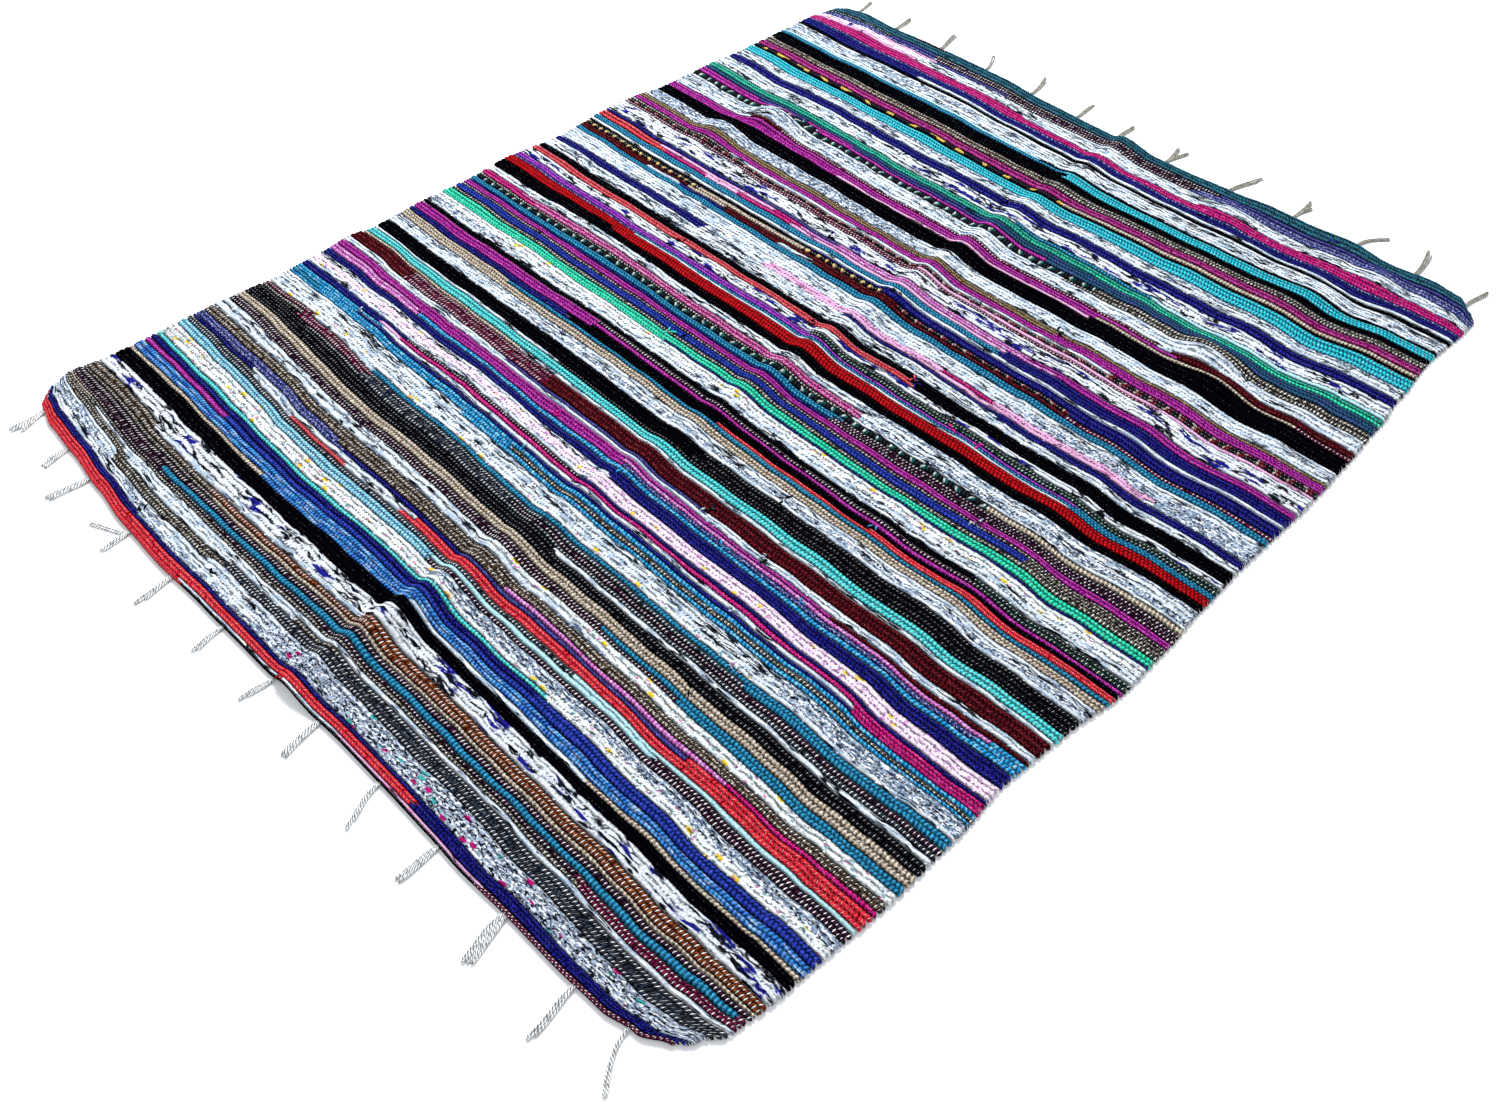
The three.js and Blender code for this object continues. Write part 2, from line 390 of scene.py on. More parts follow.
# %% [markdown]
# ## What each rag is like
# For every rag the weaver used we note which bundle of cloth it belongs to, how `plump` it packs,
# how deeply the warps `bite` into it, how far a warp stitch shows on top of it, how `uneven` it
# runs, how high the `groove` beside it lies, and the tint of the thread that crosses it. `stitch`
# is the share of the row that the thread crosses, and zero where the rag closes over it or is as
# pale as the thread. Pale rags are the soft ones: jersey and old sheets, which close up most.

# %% The rags
NOTES = {  # bundle, plumpness, bite, stitch, unevenness, groove height, colour of the stitch
    "white": ("rags_white", 1.0, 0.6, 0.0, 1.6, 6.0, ""),
    "lined": ("rags_white", 0.97, 0.6, 0.0, 1.6, 5.8, ""),
    "dash": ("rags_dash", 1.06, 0.6, 0.0, 1.8, 6.0, ""),
    "floral": ("rags_floral", 1.0, 0.6, 0.0, 1.4, 6.0, ""),
    "pink_floral": ("rags_floral", 1.0, 0.6, 0.0, 1.4, 5.8, ""),
    "denim": ("rags_denim", 0.98, 0.7, 0.0, 1.5, 5.7, ""),
    "print": ("rags_denim", 1.0, 0.7, 0.0, 1.5, 5.6, ""),
    "pale": ("rags_denim", 0.98, 0.8, 0.0, 0.9, 5.4, ""),
    "blush": ("rags_pink", 0.98, 0.7, 0.0, 1.2, 5.6, ""),
    "orchid": ("rags_pink", 1.0, 1.0, 0.5, 0.9, 5.0, "pale"),
    "dusty": ("rags_pink", 1.0, 1.3, 0.6, 0.8, 4.8, "pale"),
    "black": ("rags_black", 1.04, 1.0, 0.3, 0.6, 5.8, "grey"),
    "jet": ("rags_black", 1.04, 1.5, 0.62, 0.6, 5.0, "silver"),
    "slate": ("rags_slate", 1.06, 1.7, 0.92, 0.6, 4.2, "white"),
    "steel": ("rags_slate", 1.0, 1.3, 0.5, 0.6, 4.8, "blue"),
    "navy": ("rags_navy", 1.02, 1.3, 0.4, 0.5, 4.8, "blue"),
    "royal": ("rags_blue", 1.06, 1.4, 0.3, 0.5, 5.0, "blue"),
    "cobalt": ("rags_blue", 1.0, 0.9, 0.0, 1.0, 5.6, ""),
    "periwinkle": ("rags_blue", 1.0, 1.3, 0.45, 0.5, 4.8, "blue"),
    "violet": ("rags_blue", 1.0, 1.3, 0.65, 0.6, 4.8, "blue"),
    "sky": ("rags_sky", 1.0, 0.9, 0.0, 1.0, 5.6, ""),
    "teal": ("rags_teal", 1.1, 0.9, 0.0, 0.6, 5.2, ""),
    "aqua": ("rags_aqua", 1.04, 1.5, 0.5, 0.4, 4.8, "pale"),
    "turquoise": ("rags_aqua", 1.02, 1.4, 0.4, 0.5, 5.0, "pale"),
    "mint": ("rags_green", 1.04, 1.2, 0.3, 0.5, 5.2, "pale"),
    "jade": ("rags_green", 1.0, 1.2, 0.4, 0.6, 5.0, "pale"),
    "forest": ("rags_green", 1.04, 1.6, 0.7, 0.6, 4.4, "white"),
    "petrol": ("rags_green", 1.0, 1.4, 0.6, 0.8, 4.8, "blue"),
    "magenta": ("rags_magenta", 1.02, 1.5, 0.55, 0.6, 4.8, "pink"),
    "purple": ("rags_magenta", 1.0, 1.3, 0.5, 0.6, 4.8, "pink"),
    "hot_pink": ("rags_hot_pink", 1.05, 1.2, 0.45, 0.8, 5.2, "pink"),
    "red": ("rags_red", 1.14, 1.5, 0.9, 0.6, 6.4, "rose"),
    "scarlet": ("rags_red", 1.1, 1.1, 0.0, 0.6, 5.6, ""),
    "coral": ("rags_red", 1.1, 1.6, 0.7, 0.6, 4.8, "rose"),
    "plum": ("rags_magenta", 1.06, 1.5, 0.6, 0.7, 4.8, "pink"),
    "powder": ("rags_sky", 1.06, 1.3, 0.5, 0.7, 4.8, "pale"),
    "crimson": ("rags_crimson", 1.04, 1.1, 0.3, 0.6, 5.0, "rose"),
    "maroon": ("rags_crimson", 1.02, 1.6, 0.85, 0.6, 4.4, "white"),
    "aubergine": ("rags_aubergine", 1.0, 1.6, 0.88, 0.6, 4.4, "white"),
    "brown": ("rags_brown", 1.18, 1.9, 0.95, 0.5, 4.2, "white"),
    "taupe": ("rags_brown", 1.02, 1.3, 0.8, 0.9, 4.8, "white"),
    "beige": ("rags_beige", 0.98, 1.2, 0.4, 0.9, 5.0, "white"),
    "khaki": ("rags_beige", 0.98, 1.2, 0.5, 0.8, 4.8, "white"),
    "tweed": ("rags_tweed", 1.0, 1.5, 0.85, 0.7, 4.4, "white"),
    "check": ("rags_check", 1.0, 1.0, 0.0, 0.8, 5.2, ""),
    "red_dot": ("rags_check", 1.0, 1.2, 0.4, 0.8, 5.0, "white"),
    "gold_check": ("rags_check", 1.0, 1.2, 0.4, 0.8, 5.0, "white"),
    "yellow_block": ("rags_check", 1.0, 1.2, 0.4, 0.8, 5.0, "grey"),
}


class Rag:
    """The weaver's notes on one kind of rag."""

    def __init__(self, bundle, plump, bite, stitch, uneven, groove, thread):
        self.bundle, self.plump, self.uneven, self.groove = bundle, plump, uneven, groove
        self.bite, self.stitch, self.thread = bite, stitch, thread


RAGS = {name: Rag(*notes) for name, notes in NOTES.items()}
PALE = {"white", "lined", "dash", "floral", "pink_floral", "denim", "print", "pale", "blush"}
missing = {name for rags in row_rags for name, _ in rags} - set(RAGS)
assert not missing, missing
print("kinds of rag:", len(RAGS), "in", len({rag.bundle for rag in RAGS.values()}), "bundles")

# %% [markdown]
# ## Rows that are never quite straight
# Rags differ in thickness, so a row swells and thins along its length and pushes its neighbours
# about, and the whole cloth has been pulled a little askew. Three things are added up: how far
# the rows wander in each part of the rug, slow waves shared by neighbouring rows, and a swelling
# of each row's own. The first is a given table: how far a row runs ahead of its straight
# line, at eight places across. A station is half the spacing of the warps, so that every second
# one lies under a warp and the others in the bead between two.

# %% How far the rows wander
STEP = 3.125  # from one station to the next, in millimetres
STATIONS = int(WIDTH / STEP) + 1
across = np.arange(STATIONS) * STEP
WANDER = np.array([  # along, then how far the rows run ahead at the places across given below
    (0, 0, 0, 0, 0, 0, 0, 0, 0), (60, -11, -14, -8, -6, -10, -13, -16, -22),
    (120, -31, -23, -12, -8, -11, -16, -17, -20), (200, -27, -16, -8, -8, -17, -20, -24, -28),
    (280, -11, -9, -6, -11, -16, -18, -26, -30), (320, -13, -6, -2, -9, -15, -19, -24, -27),
    (360, 2, -3, 4, -6, -14, -19, -24, -28), (440, -11, 0, 1, -11, -11, -15, -16, -15),
    (520, -17, -8, 5, -7, -9, -12, -15, -29), (600, -8, -7, 3, -2, -7, -12, -11, -14),
    (680, -12, -7, 1, -1, -4, -5, -5, -11), (760, -21, -15, -5, -2, -10, -15, -14, -18),
    (840, -19, -12, -6, -4, -6, -14, -7, -14), (920, -27, -13, -7, -7, -4, -12, -10, -7),
    (1000, -24, -22, -11, -7, -6, -17, -21, -22), (1080, -14, -11, -4, -7, -5, -15, -20, -20),
    (1150, -21, -20, -9, 4, -2, -11, -22, -19), (1220, -9, -9, -5, -1, -5, -11, -17, -19),
    (1290, -12, -13, -10, -5, -10, -15, -21, -22), (1350, -19, -10, -8, -3, -3, -15, -14, -20),
    (1400, -15, -10, -4, -5, -6, -11, -13, -13), (1450, -8, -9, -12, -6, -4, -24, -25, -15),
    (1510, -4, -3, -6, 2, 2, -11, -15, -4), (1560, -5, -4, -6, 0, 8, 0, -2, 9),
    (1610, -2, 2, -2, 10, 7, -4, -1, 3), (1660, -5, 1, 0, 3, 4, -10, -12, -7),
    (1720, -2, -2, -2, -1, 1, -14, -12, -4), (1770, -6, -5, -3, 0, 2, -9, -8, 0),
    (1800, 0, 0, 0, 0, 0, 0, 0, 0)], float)
WANDER_ACROSS = np.array([60, 225, 445, 770, 900, 1100, 1285, 1440], float)
print("stations across:", STATIONS, "| the wander is given at", len(WANDER), "places along")

# %% [markdown]
# ## Waves in the rows
# The slow waves are the same for all rows and only turn a little from one to the next. A row's
# own swelling is handed on, a bit weaker each time, because a thick rag still shows in the rows
# that are beaten against it. Near the two ends all waves fade out, where the edge tables say how
# the cloth lies.

# %% Where each row runs
SHARED_WAVES = [  # length, height, and how far it turns from row to row
    (1100, 0.8, 0.04), (620, 0.8, -0.07), (350, 0.6, 0.12), (210, 0.4, -0.2)]
OWN_WAVES = [(260, 700, 0.8), (60, 160, 0.4)]  # shortest and longest length, height
HANDED_ON = 0.8  # the share of its neighbour's swelling that a row keeps
FADE = 60  # the stretch in which the waves fade out, at either end

lines = np.zeros((ROWS + 1, STATIONS))  # the line between two rows, and the two ends of the rug
pushed = np.zeros(STATIONS)
for k, edge in enumerate(row_edges):
    ahead = np.array([read(WANDER, c + 1, np.array([edge]))[0] for c in range(len(WANDER_ACROSS))])
    lines[k] = edge + np.interp(across, WANDER_ACROSS, ahead)
    fade = min(1.0, edge / FADE, (LENGTH - edge) / FADE)
    for length, height, turn in SHARED_WAVES:
        lines[k] += fade * height * np.sin(2 * np.pi * across / length + k * turn + length)
    pushed *= HANDED_ON
    for low, high, height in OWN_WAVES:
        length, phase = chance.uniform(low, high), chance.uniform(0, FULL_TURN)
        pushed += height * np.sin(2 * np.pi * across / length + phase)
    lines[k] += fade * pushed
print("lines drawn:", len(lines))

# %% [markdown]
# ## Soft rags and squeezed rows
# Between two soft pale rags the line also wavers quickly, over a few beads, which is what gives
# white stripes their torn look. After all that some rows are too thin, so wherever one is
# squeezed it pushes both its neighbours aside, a little in each of forty rounds, while the first
# and last lines are held where the rug ends.

# %% Soft rags and squeezed rows
QUICK_WAVES = [(14, 22, 0.45), (26, 48, 0.8)]  # shortest and longest length, height
SLIM, SLIM_PACKED, PACKED = 3, 1.6, 3.4  # a row slimmer than SLIM in the chart may pack closer
ROUNDS = 40

soft = np.zeros((ROWS + 2, STATIONS))  # 1 where the rag is pale, with a spare row at either end
for row, rags in enumerate(row_rags):
    first = 0.0
    for rag, end in rags:
        soft[row + 1, (across >= first) & (across <= end)] = rag in PALE
        first = end
for k in range(1, ROWS):
    wave = np.zeros(STATIONS)
    for low, high, height in QUICK_WAVES:
        length, phase = chance.uniform(low, high), chance.uniform(0, FULL_TURN)
        wave += height * np.sin(2 * np.pi * across / length + phase)
    lines[k] += wave * soft[k] * soft[k + 1]
narrowest = np.where(np.diff(row_edges) < SLIM, SLIM_PACKED, PACKED)[:, None]
for _ in range(ROUNDS):
    short = np.maximum(narrowest - np.diff(lines, axis=0), 0) / 2
    lines[:-1] -= short
    lines[1:] += short
    lines[0], lines[-1] = 0, LENGTH
print("a row is between", round(float(np.diff(lines, axis=0).min()), 1), "and",
      round(float(np.diff(lines, axis=0).max()), 1), "mm wide")

# %% [markdown]
# ## Weaving the rows
# Each run of rag is a closed strip with a rounded back: two long edges down in the grooves and a
# crown between them that dips wherever a warp crosses. A dip falls at every other station, and
# the next row dips in between, as in any plain weave. Every bundle gathers its strips as plain
# arrays first, because one big mesh is far quicker to make than thousands of little ones.

# %% A bundle of strips
LANE = [(0.06, 0.4), (0.4, 0.74), (0.82, 0.94)]  # near side, far side and underside in a bake


class Bundle:
    """The strips of one kind of cloth, kept as arrays until the mesh is made."""

    def __init__(self):
        self.points, self.quads, self.runs, self.finish = [], [], [], []
        self.rib, self.bead, self.bake = [], [], []
        self.count, self.laid = 0, 0  # points so far, and stations so far in the baked lanes

    def add(self, points, quads, run, rib, bead, finish, spans):
        """quads index points, run holds a place along and across the rag for each point, and
        spans says for each quad how far on it lies and its low and high edge in a baked lane."""
        self.points.append(points)
        self.quads.append(quads + self.count)
        self.runs.append(run[quads])
        self.rib.append(rib)
        self.bead.append(bead)
        self.finish.append(np.full(len(quads), finish))
        self.bake.append(spans + [self.laid, 0, 0])
        self.laid += int(spans[:, 0].max()) + 2
        self.count += len(points)


bundles = {name: Bundle() for name in sorted({rag.bundle for rag in RAGS.values()})}
finishes = {name: [] for name in bundles}  # the rags of each bundle, in the order of its slots
for rag, notes in RAGS.items():
    finishes[notes.bundle].append(rag)
print("bundles:", ", ".join(bundles))

# %% [markdown]
# ## Where one rag gives way to the next
# The chart notes a join at a round number, but on the loom a rag ends wherever the strip of cloth
# ran out. So each join is moved a little to either side, and then we know which rag lies at every
# station of every row. A spare row before the first and after the last saves asking later whether
# a row has a neighbour.

# %% Which rag lies where
JOIN = 14.0  # how far a join may be moved, in millimetres
SHORTEST = 3  # stations that the shortest rag still covers

rag_at = np.full((ROWS + 2, STATIONS), "", object)
for row, rags in enumerate(row_rags):
    first = 0
    for k, (rag, end) in enumerate(rags):
        last = STATIONS - 1
        if k < len(rags) - 1:
            moved = round((end + chance.uniform(-JOIN, JOIN)) / STEP)
            last = int(np.clip(moved, first + SHORTEST, STATIONS - 1 - SHORTEST))
        rag_at[row + 1, first:last + 1] = rag
        first = last
print("joins between rags:", int((rag_at[1:-1, 1:] != rag_at[1:-1, :-1]).sum()))

# %% [markdown]
# ## The skin of a strip
# A strip has three points at each station: its near edge, its crown and its far edge. A round
# tube would need eight, but a rag lies packed among others, so two slopes and a flat underside
# are enough, with a triangle at either end. Every strip is closed all round, so that it has a
# thickness as real cloth has.

# %% The faces of a strip
def ribbon(n):
    """The faces of a strip with n stations, and which span of which baked lane each one fills."""
    a = 3 * np.arange(n - 1)
    quads = np.concatenate([np.stack([a, a + 3, a + 4, a + 1], 1),
                            np.stack([a + 1, a + 4, a + 5, a + 2], 1),
                            np.stack([a + 2, a + 5, a + 3, a], 1),
                            [[0, 1, 2, 2], [3 * n - 3, 3 * n - 1, 3 * n - 2, 3 * n - 2]]])
    spans = [np.stack([np.arange(n - 1), np.full(n - 1, low), np.full(n - 1, high)], 1)
             for low, high in LANE]
    return quads, np.concatenate(spans + [[[0, *LANE[2]], [n - 2, *LANE[2]]]])


print("faces of a strip of 100 stations:", len(ribbon(100)[0]))

# %% [markdown]
# ## How a rag swells, narrows and meets its neighbours
# Torn cloth is never even, so a rag is a little thicker here and thinner there. Its ends are
# tucked in and narrow. Where the next row holds the same rag the two close up and the groove
# between them all but vanishes: that is why a broad stripe looks like one soft band.

# %% Swelling, narrowing and closing up
SWELLINGS = [(34, 0.5), (15, 0.35), (8, 0.2)]  # length in millimetres, and share of the unevenness
END_WIDTH, NEXT_WIDTH = 0.45, 0.9  # of a strip's full width, at its last station and the one before


def swelling(j):
    """How much thicker or thinner than usual the rag is at each station j."""
    swell = np.zeros(len(j))
    for length, share in SWELLINGS:
        swell += share * np.sin(2 * np.pi * j * STEP / (length * chance.uniform(0.8, 1.25))
                                + chance.uniform(0, FULL_TURN))
    return swell


def narrowing(n):
    """The width of a strip of n stations, as a share of the room it has."""
    pinch = np.ones(n)
    pinch[[0, -1]] = END_WIDTH
    pinch[[1, -2]] = np.minimum(pinch[[1, -2]], NEXT_WIDTH)
    return pinch


def closed_up(row, j, rag):
    """For the near and the far side: 1 where the row beyond holds the same rag, or both are pale."""
    return np.array([[float(other == rag or (other in PALE and rag in PALE))
                      for other in rag_at[row + side, j]] for side in (0, 2)])


print("widths at the end of a strip:", narrowing(6)[:3])

# %% [markdown]
# ## One rag in one row
# The crown stands up by the plumpness of the rag and dips by its `bite` under each warp. The two
# edges lie as deep as the groove, or just below the crown where the rags close up, and at the
# selvedges and the two ends they go down to the hem. The strip leans to one side in one row and
# to the other in the next, because the weft runs there and back.

# %% Weaving a strip
HEM = 1.1  # height of the rug's own outer edges above the underside
LEAN = 0.8  # how far one edge of a strip lags behind its crown, and the other runs ahead
DRAWN_IN, RUNS_ON = 0.6, 2.2  # how far an end is drawn in at a selvedge, or runs on under a join
THIN = 3.0  # half the width of a row in which the warps bite fully
KEPT, PINCHED = 0.7, 0.3  # the share of its height that a strip's end keeps, and the rest
CROWN_RISE = 0.3  # how far a crown stands above the cloth's own thickness
SWELL_UP, SWELL_ASIDE = 0.4, 0.25  # how far a swelling lifts the crown and moves it sideways
DRIFT = 0.125  # how far a whole crown may lie to one side, as a share of half the row
STEEPNESS = 5  # a groove lies no higher above the hem than this times half the row's width
BELOW_PALE, BELOW_DARK = 0.1, 0.5  # how far below its crown a rag meets another like it
DRAWN_TIGHT, OVERLAP = 0.05, 1.02  # narrower under a warp, and a hair over where rags close up
ROW_SHIFT = 0.37  # metres that the mottle is moved on from row to row, so that none repeats
# rib tells the material how near a crown a point lies, from 0 in an open groove to 1: a groove
# that has closed up is shaded a little at RIB_CLOSED, and from RIB_LIGHT up not at all
RIB_CLOSED, RIB_LIGHT = 0.2, 0.36


def strip(row, first, last, rag):
    """Weaves one rag into a row, from one station to another, and says how high its crown is."""
    notes = RAGS[rag]
    j = np.arange(first, last + 1)
    n = len(j)
    near, far = lines[row, j], lines[row + 1, j]
    middle, half = (near + far) / 2, (far - near) / 2
    open_bead = ((j + row) % 2).astype(float)  # 1 between two warps and 0 under one
    swell, pinch, same = swelling(j), narrowing(n), closed_up(row, j, rag)

    dip = np.minimum(1, half / THIN) * notes.bite * (1 - open_bead)
    height = CLOTH * notes.plump * (KEPT + PINCHED * pinch) + CROWN_RISE
    crown = height - dip + notes.uneven * swell * SWELL_UP
    sway = notes.uneven * SWELL_ASIDE * swell + DRIFT * half * (chance.random() - 0.5)

    groove = min(notes.groove, HEM + STEEPNESS * float(half.mean()))
    meeting = CLOTH * notes.plump - (BELOW_PALE if rag in PALE else BELOW_DARK)
    low = groove + same * (meeting - groove)
    if first == 0:
        low[:, 0] = HEM
    if last == STATIONS - 1:
        low[:, -1] = HEM
    if row in (0, ROWS - 1):
        low[0 if row == 0 else 1] = HEM

    reach = half * pinch * (1 - DRAWN_TIGHT * notes.bite * (1 - open_bead))
    side = reach + same * np.maximum(half * pinch * OVERLAP - reach, 0)
    lean = LEAN * (1 if row % 2 else -1)
    shift = np.zeros(n)
    shift[0] = -RUNS_ON if first else DRAWN_IN
    shift[-1] = RUNS_ON if last < STATIONS - 1 else -DRAWN_IN
    u = across[j] + shift
    spots = np.stack([
        np.stack([u - lean, middle - side[0], low[0]], 1),
        np.stack([u, middle + sway, crown], 1),
        np.stack([u + lean, middle + side[1], low[1]], 1)], 1).reshape(-1, 3)
    spots[:, 0] = np.clip(spots[:, 0], -1, WIDTH + 1)

    over = (spots[:, 1] - np.repeat(middle, 3)) * MM + row * ROW_SHIFT
    run = np.stack([spots[:, 0] * MM, over], 1)
    quads, spans = ribbon(n)
    hidden = RIB_LIGHT if rag in PALE else RIB_CLOSED
    rib = np.stack([hidden * same[0], np.ones(n), hidden * same[1]], 1).ravel()
    bundles[notes.bundle].add(lay(*spots.T), quads, run, rib, np.repeat(open_bead, 3),
                              finishes[notes.bundle].index(rag), spans)
    return crown


crowns = np.full((ROWS, STATIONS), CLOTH)
for row in range(ROWS):
    ends = [0] + [j for j in range(1, STATIONS) if rag_at[row + 1, j] != rag_at[row + 1, j - 1]]
    for first, last in zip(ends, ends[1:] + [STATIONS - 1]):
        first = max(first - 1, 0)
        if last > first:
            crowns[row, first:last + 1] = strip(row, first, last, rag_at[row + 1, first + 1])
print("strips woven:", sum(len(b.points) for b in bundles.values()))

# %% [markdown]
# ## Knots and loose ends
# Where a rag ran out its end was tucked in, and a few were knotted or work loose again: little
# tabs of cloth, 7 to 15 mm long, that stick up out of the rows. Each place has two or three of
# them that fan out from the same hole. They use the faces of the strips, so a tab is a short rag
# of its own that leaves the cloth, bends over and lies down again.

# %% Where ends stick out
LOOSE_ENDS = {  # rag: the places, across and along, where its ends stick out
    "black": [(353, 31), (527, 38), (965, 689), (1121, 366), (1331, 365), (600, 843), (413, 1001),
              (719, 1005), (287, 1208), (582, 1199), (1023, 1186), (491, 1464), (1014, 1267),
              (1014, 1694), (734, 1483)],
    "scarlet": [(762, 9)],
    "print": [(180, 496), (623, 493), (1038, 475), (1066, 493), (1137, 424), (564, 993),
              (599, 993)],
    "teal": [(1086, 740), (1123, 566), (978, 565)],
    "sky": [(772, 563)],
    "hot_pink": [(602, 575), (1040, 970), (1090, 967)],
    "lined": [(907, 602), (1033, 594), (1183, 845), (1286, 1368)],
    "jet": [(914, 606), (1041, 590), (772, 1157), (1177, 850), (701, 1426), (1293, 1365)],
    "mint": [(570, 828)],
    "coral": [(925, 1019)],
    "navy": [(934, 1015), (91, 1737), (1212, 1775)],
}
print("places with loose ends:", sum(len(places) for places in LOOSE_ENDS.values()))

# %% A loose end
TAB_STATIONS = 6
ROOT_DEPTH, EDGE, RIDGE = 0.6, 0.7, 0.8  # below the cloth's top; then below and above the tab's line


def loose_end(rag, place, along, heading, length, width, rise):
    """Adds one tab to its bundle: it sets out with that heading, in radians, and curls as it goes."""
    n = TAB_STATIONS
    t = np.linspace(0, 1, n)
    way = heading + chance.uniform(-1.3, 1.3) * t
    steps = np.stack([np.cos(way), np.sin(way)], 1)
    path = (place, along) + np.cumsum(steps, axis=0) * length / n
    sideways = np.stack([-steps[:, 1], steps[:, 0]], 1)
    sideways *= (width / 2 * np.sin(np.pi * (0.2 + 0.68 * t)))[:, None]
    above = CLOTH - ROOT_DEPTH + rise * np.sin(np.pi * (0.1 + 0.8 * t))
    spots = np.stack([np.column_stack([path - sideways, above - EDGE]),
                      np.column_stack([path, above + RIDGE]),
                      np.column_stack([path + sideways, above - EDGE])], 1).reshape(-1, 3)
    quads, spans = ribbon(n)
    bundle, ones = RAGS[rag].bundle, np.ones(3 * n)
    bundles[bundle].add(lay(*spots.T), quads, spots[:, :2] * MM, ones, ones,
                        finishes[bundle].index(rag), spans)


tabs = 0
for rag, places in LOOSE_ENDS.items():
    for place, along in places:
        heading = chance.uniform(0, FULL_TURN)
        for _ in range(chance.choice((2, 3, 3))):
            heading += chance.uniform(1.2, 2.6)
            loose_end(rag, place + chance.uniform(-2, 2), along + chance.uniform(-1.5, 1.5), heading,
                      chance.uniform(7, 15), chance.uniform(2.6, 4.4), chance.uniform(1.4, 3.2))
            tabs += 1
print("loose ends:", tabs)

# %% [markdown]
# ## Warp stitches
# Where a warp passes over a dark rag it shows as a short white dash across the row. Thousands of
# them give the dark stripes their salt-and-pepper look, so each is the smallest closed shape that
# still looks like thread: a spindle with a three-sided waist and a point at either end. Its ends
# go down into the groove, or stay up where the next row is the same rag and the groove is shallow.

# %% Which stitches show
THREADS = ["white", "silver", "grey", "blue", "pink", "rose", "pale"]  # as the rag's lint and a painted reflection of its colour tint it
RARE = {"black": 0.35, "royal": 0.5, "navy": 0.7, "crimson": 0.4}  # the share that shows at all
OFTEN, LONGEST = 0.95, 0.97  # the share that shows in other rags; the most of a row one crosses
SLANT, TWILL_SLANT = 0.7, 1.6  # sideways run of half a dash; the red rag is crossed aslant

spindles = []
for row in range(ROWS):
    for j in range(1, STATIONS - 1):
        rag = rag_at[row + 1, j]
        notes = RAGS[rag]
        if rag_at[row + 1, j + 1] != rag or (j + row) % 2 or notes.stitch == 0:
            continue
        share = min(LONGEST, notes.stitch * chance.uniform(0.75, 1.15))
        if chance.random() < RARE.get(rag, OFTEN):
            slant = SLANT
            if rag == "red":
                slant = TWILL_SLANT if row % 2 else -TWILL_SLANT
            packed = CLOTH * notes.plump - BELOW_DARK
            sides = [packed if rag_at[row + side, j] == rag else notes.groove for side in (0, 2)]
            spindles.append((row, j, share, THREADS.index(notes.thread), *sides,
                             slant + chance.uniform(-0.5, 0.5)))
print("stitches:", len(spindles))

# %% The shape of the stitches
THREAD = 1.4  # half the width of the widest dash at its waist, in millimetres
SUNK, PROUD = 0.25, 0.95  # how far a dash stands above the rag at its sides and on its back
SPINDLE = np.array([(0, 2, 1), (0, 3, 2), (0, 1, 3), (4, 1, 2), (4, 2, 3), (4, 3, 1)])

rows, js, shares, tints, near_low, far_low, slants = (np.array(v) for v in zip(*spindles))
near, far, top = lines[rows, js], lines[rows + 1, js], crowns[rows, js]
middle, half, u = (near + far) / 2, (far - near) / 2, across[js]
slant = slants * shares
waist = THREAD * (0.2 + 0.8 * shares ** 2)
thread = np.stack([
    np.stack([u - slant, middle - half * shares, top + (near_low - top) * shares + SUNK], 1),
    np.stack([u - waist, middle, top + SUNK], 1),
    np.stack([u, middle, top + PROUD], 1),
    np.stack([u + waist, middle, top + SUNK], 1),
    np.stack([u + slant, middle + half * shares, top + (far_low - top) * shares + SUNK], 1)], 1)
print("triangles in the stitches:", len(SPINDLE) * len(thread))

# %% [markdown]
# ## Making a mesh from arrays
# Blender can build a mesh from Python lists of points and faces, but for half a million of them it
# is much faster to hand over whole arrays with `foreach_set`. Every mesh gets a map that says how
# far along and across its rag a corner lies, which the cloth materials read. The big ones get a
# second map without overlaps, `OFBake`, into which their colours can be baked. Values kept on the
# points tell a material where a crown ends and a groove begins.

# %% Making a mesh
def make_mesh(name, points, faces, smooth=True):
    """An object from an array of points and one of faces; a quad may repeat its last corner, and
    smooth may say for each face whether it is rounded in shading."""
    mesh = bpy.data.meshes.new(name)
    faces = np.asarray(faces)
    if faces.shape[1] == 4:
        sizes = np.where(faces[:, 3] == faces[:, 2], 3, 4)
        keep = np.arange(4)[None, :] < sizes[:, None]
        corners = faces[keep]
    else:
        sizes, keep, corners = np.full(len(faces), 3), None, faces.ravel()
    starts = np.concatenate([[0], np.cumsum(sizes)[:-1]])
    mesh.vertices.add(len(points))
    mesh.vertices.foreach_set("co", np.asarray(points, np.float32).ravel())
    mesh.loops.add(len(corners))
    mesh.loops.foreach_set("vertex_index", corners.astype(np.int32))
    mesh.polygons.add(len(faces))
    mesh.polygons.foreach_set("loop_start", starts.astype(np.int32))
    mesh.polygons.foreach_set("loop_total", sizes.astype(np.int32))
    mesh.polygons.foreach_set("use_smooth", np.full(len(faces), smooth))
    mesh.update(calc_edges=True)
    made = bpy.data.objects.new(name, mesh)
    bpy.context.scene.collection.objects.link(made)
    return made, keep


def add_map(mesh, name, places):
    """Gives a mesh a map from one pair of numbers for each corner of its faces."""
    layer = mesh.uv_layers.new(name=name, do_init=False)
    layer.data.foreach_set("uv", np.asarray(places, np.float32).ravel())


def add_values(mesh, name, values):
    """Gives every point of a mesh a value that its material can read by name."""
    layer = mesh.attributes.new(name, "FLOAT", "POINT")
    layer.data.foreach_set("value", np.asarray(values, np.float32))
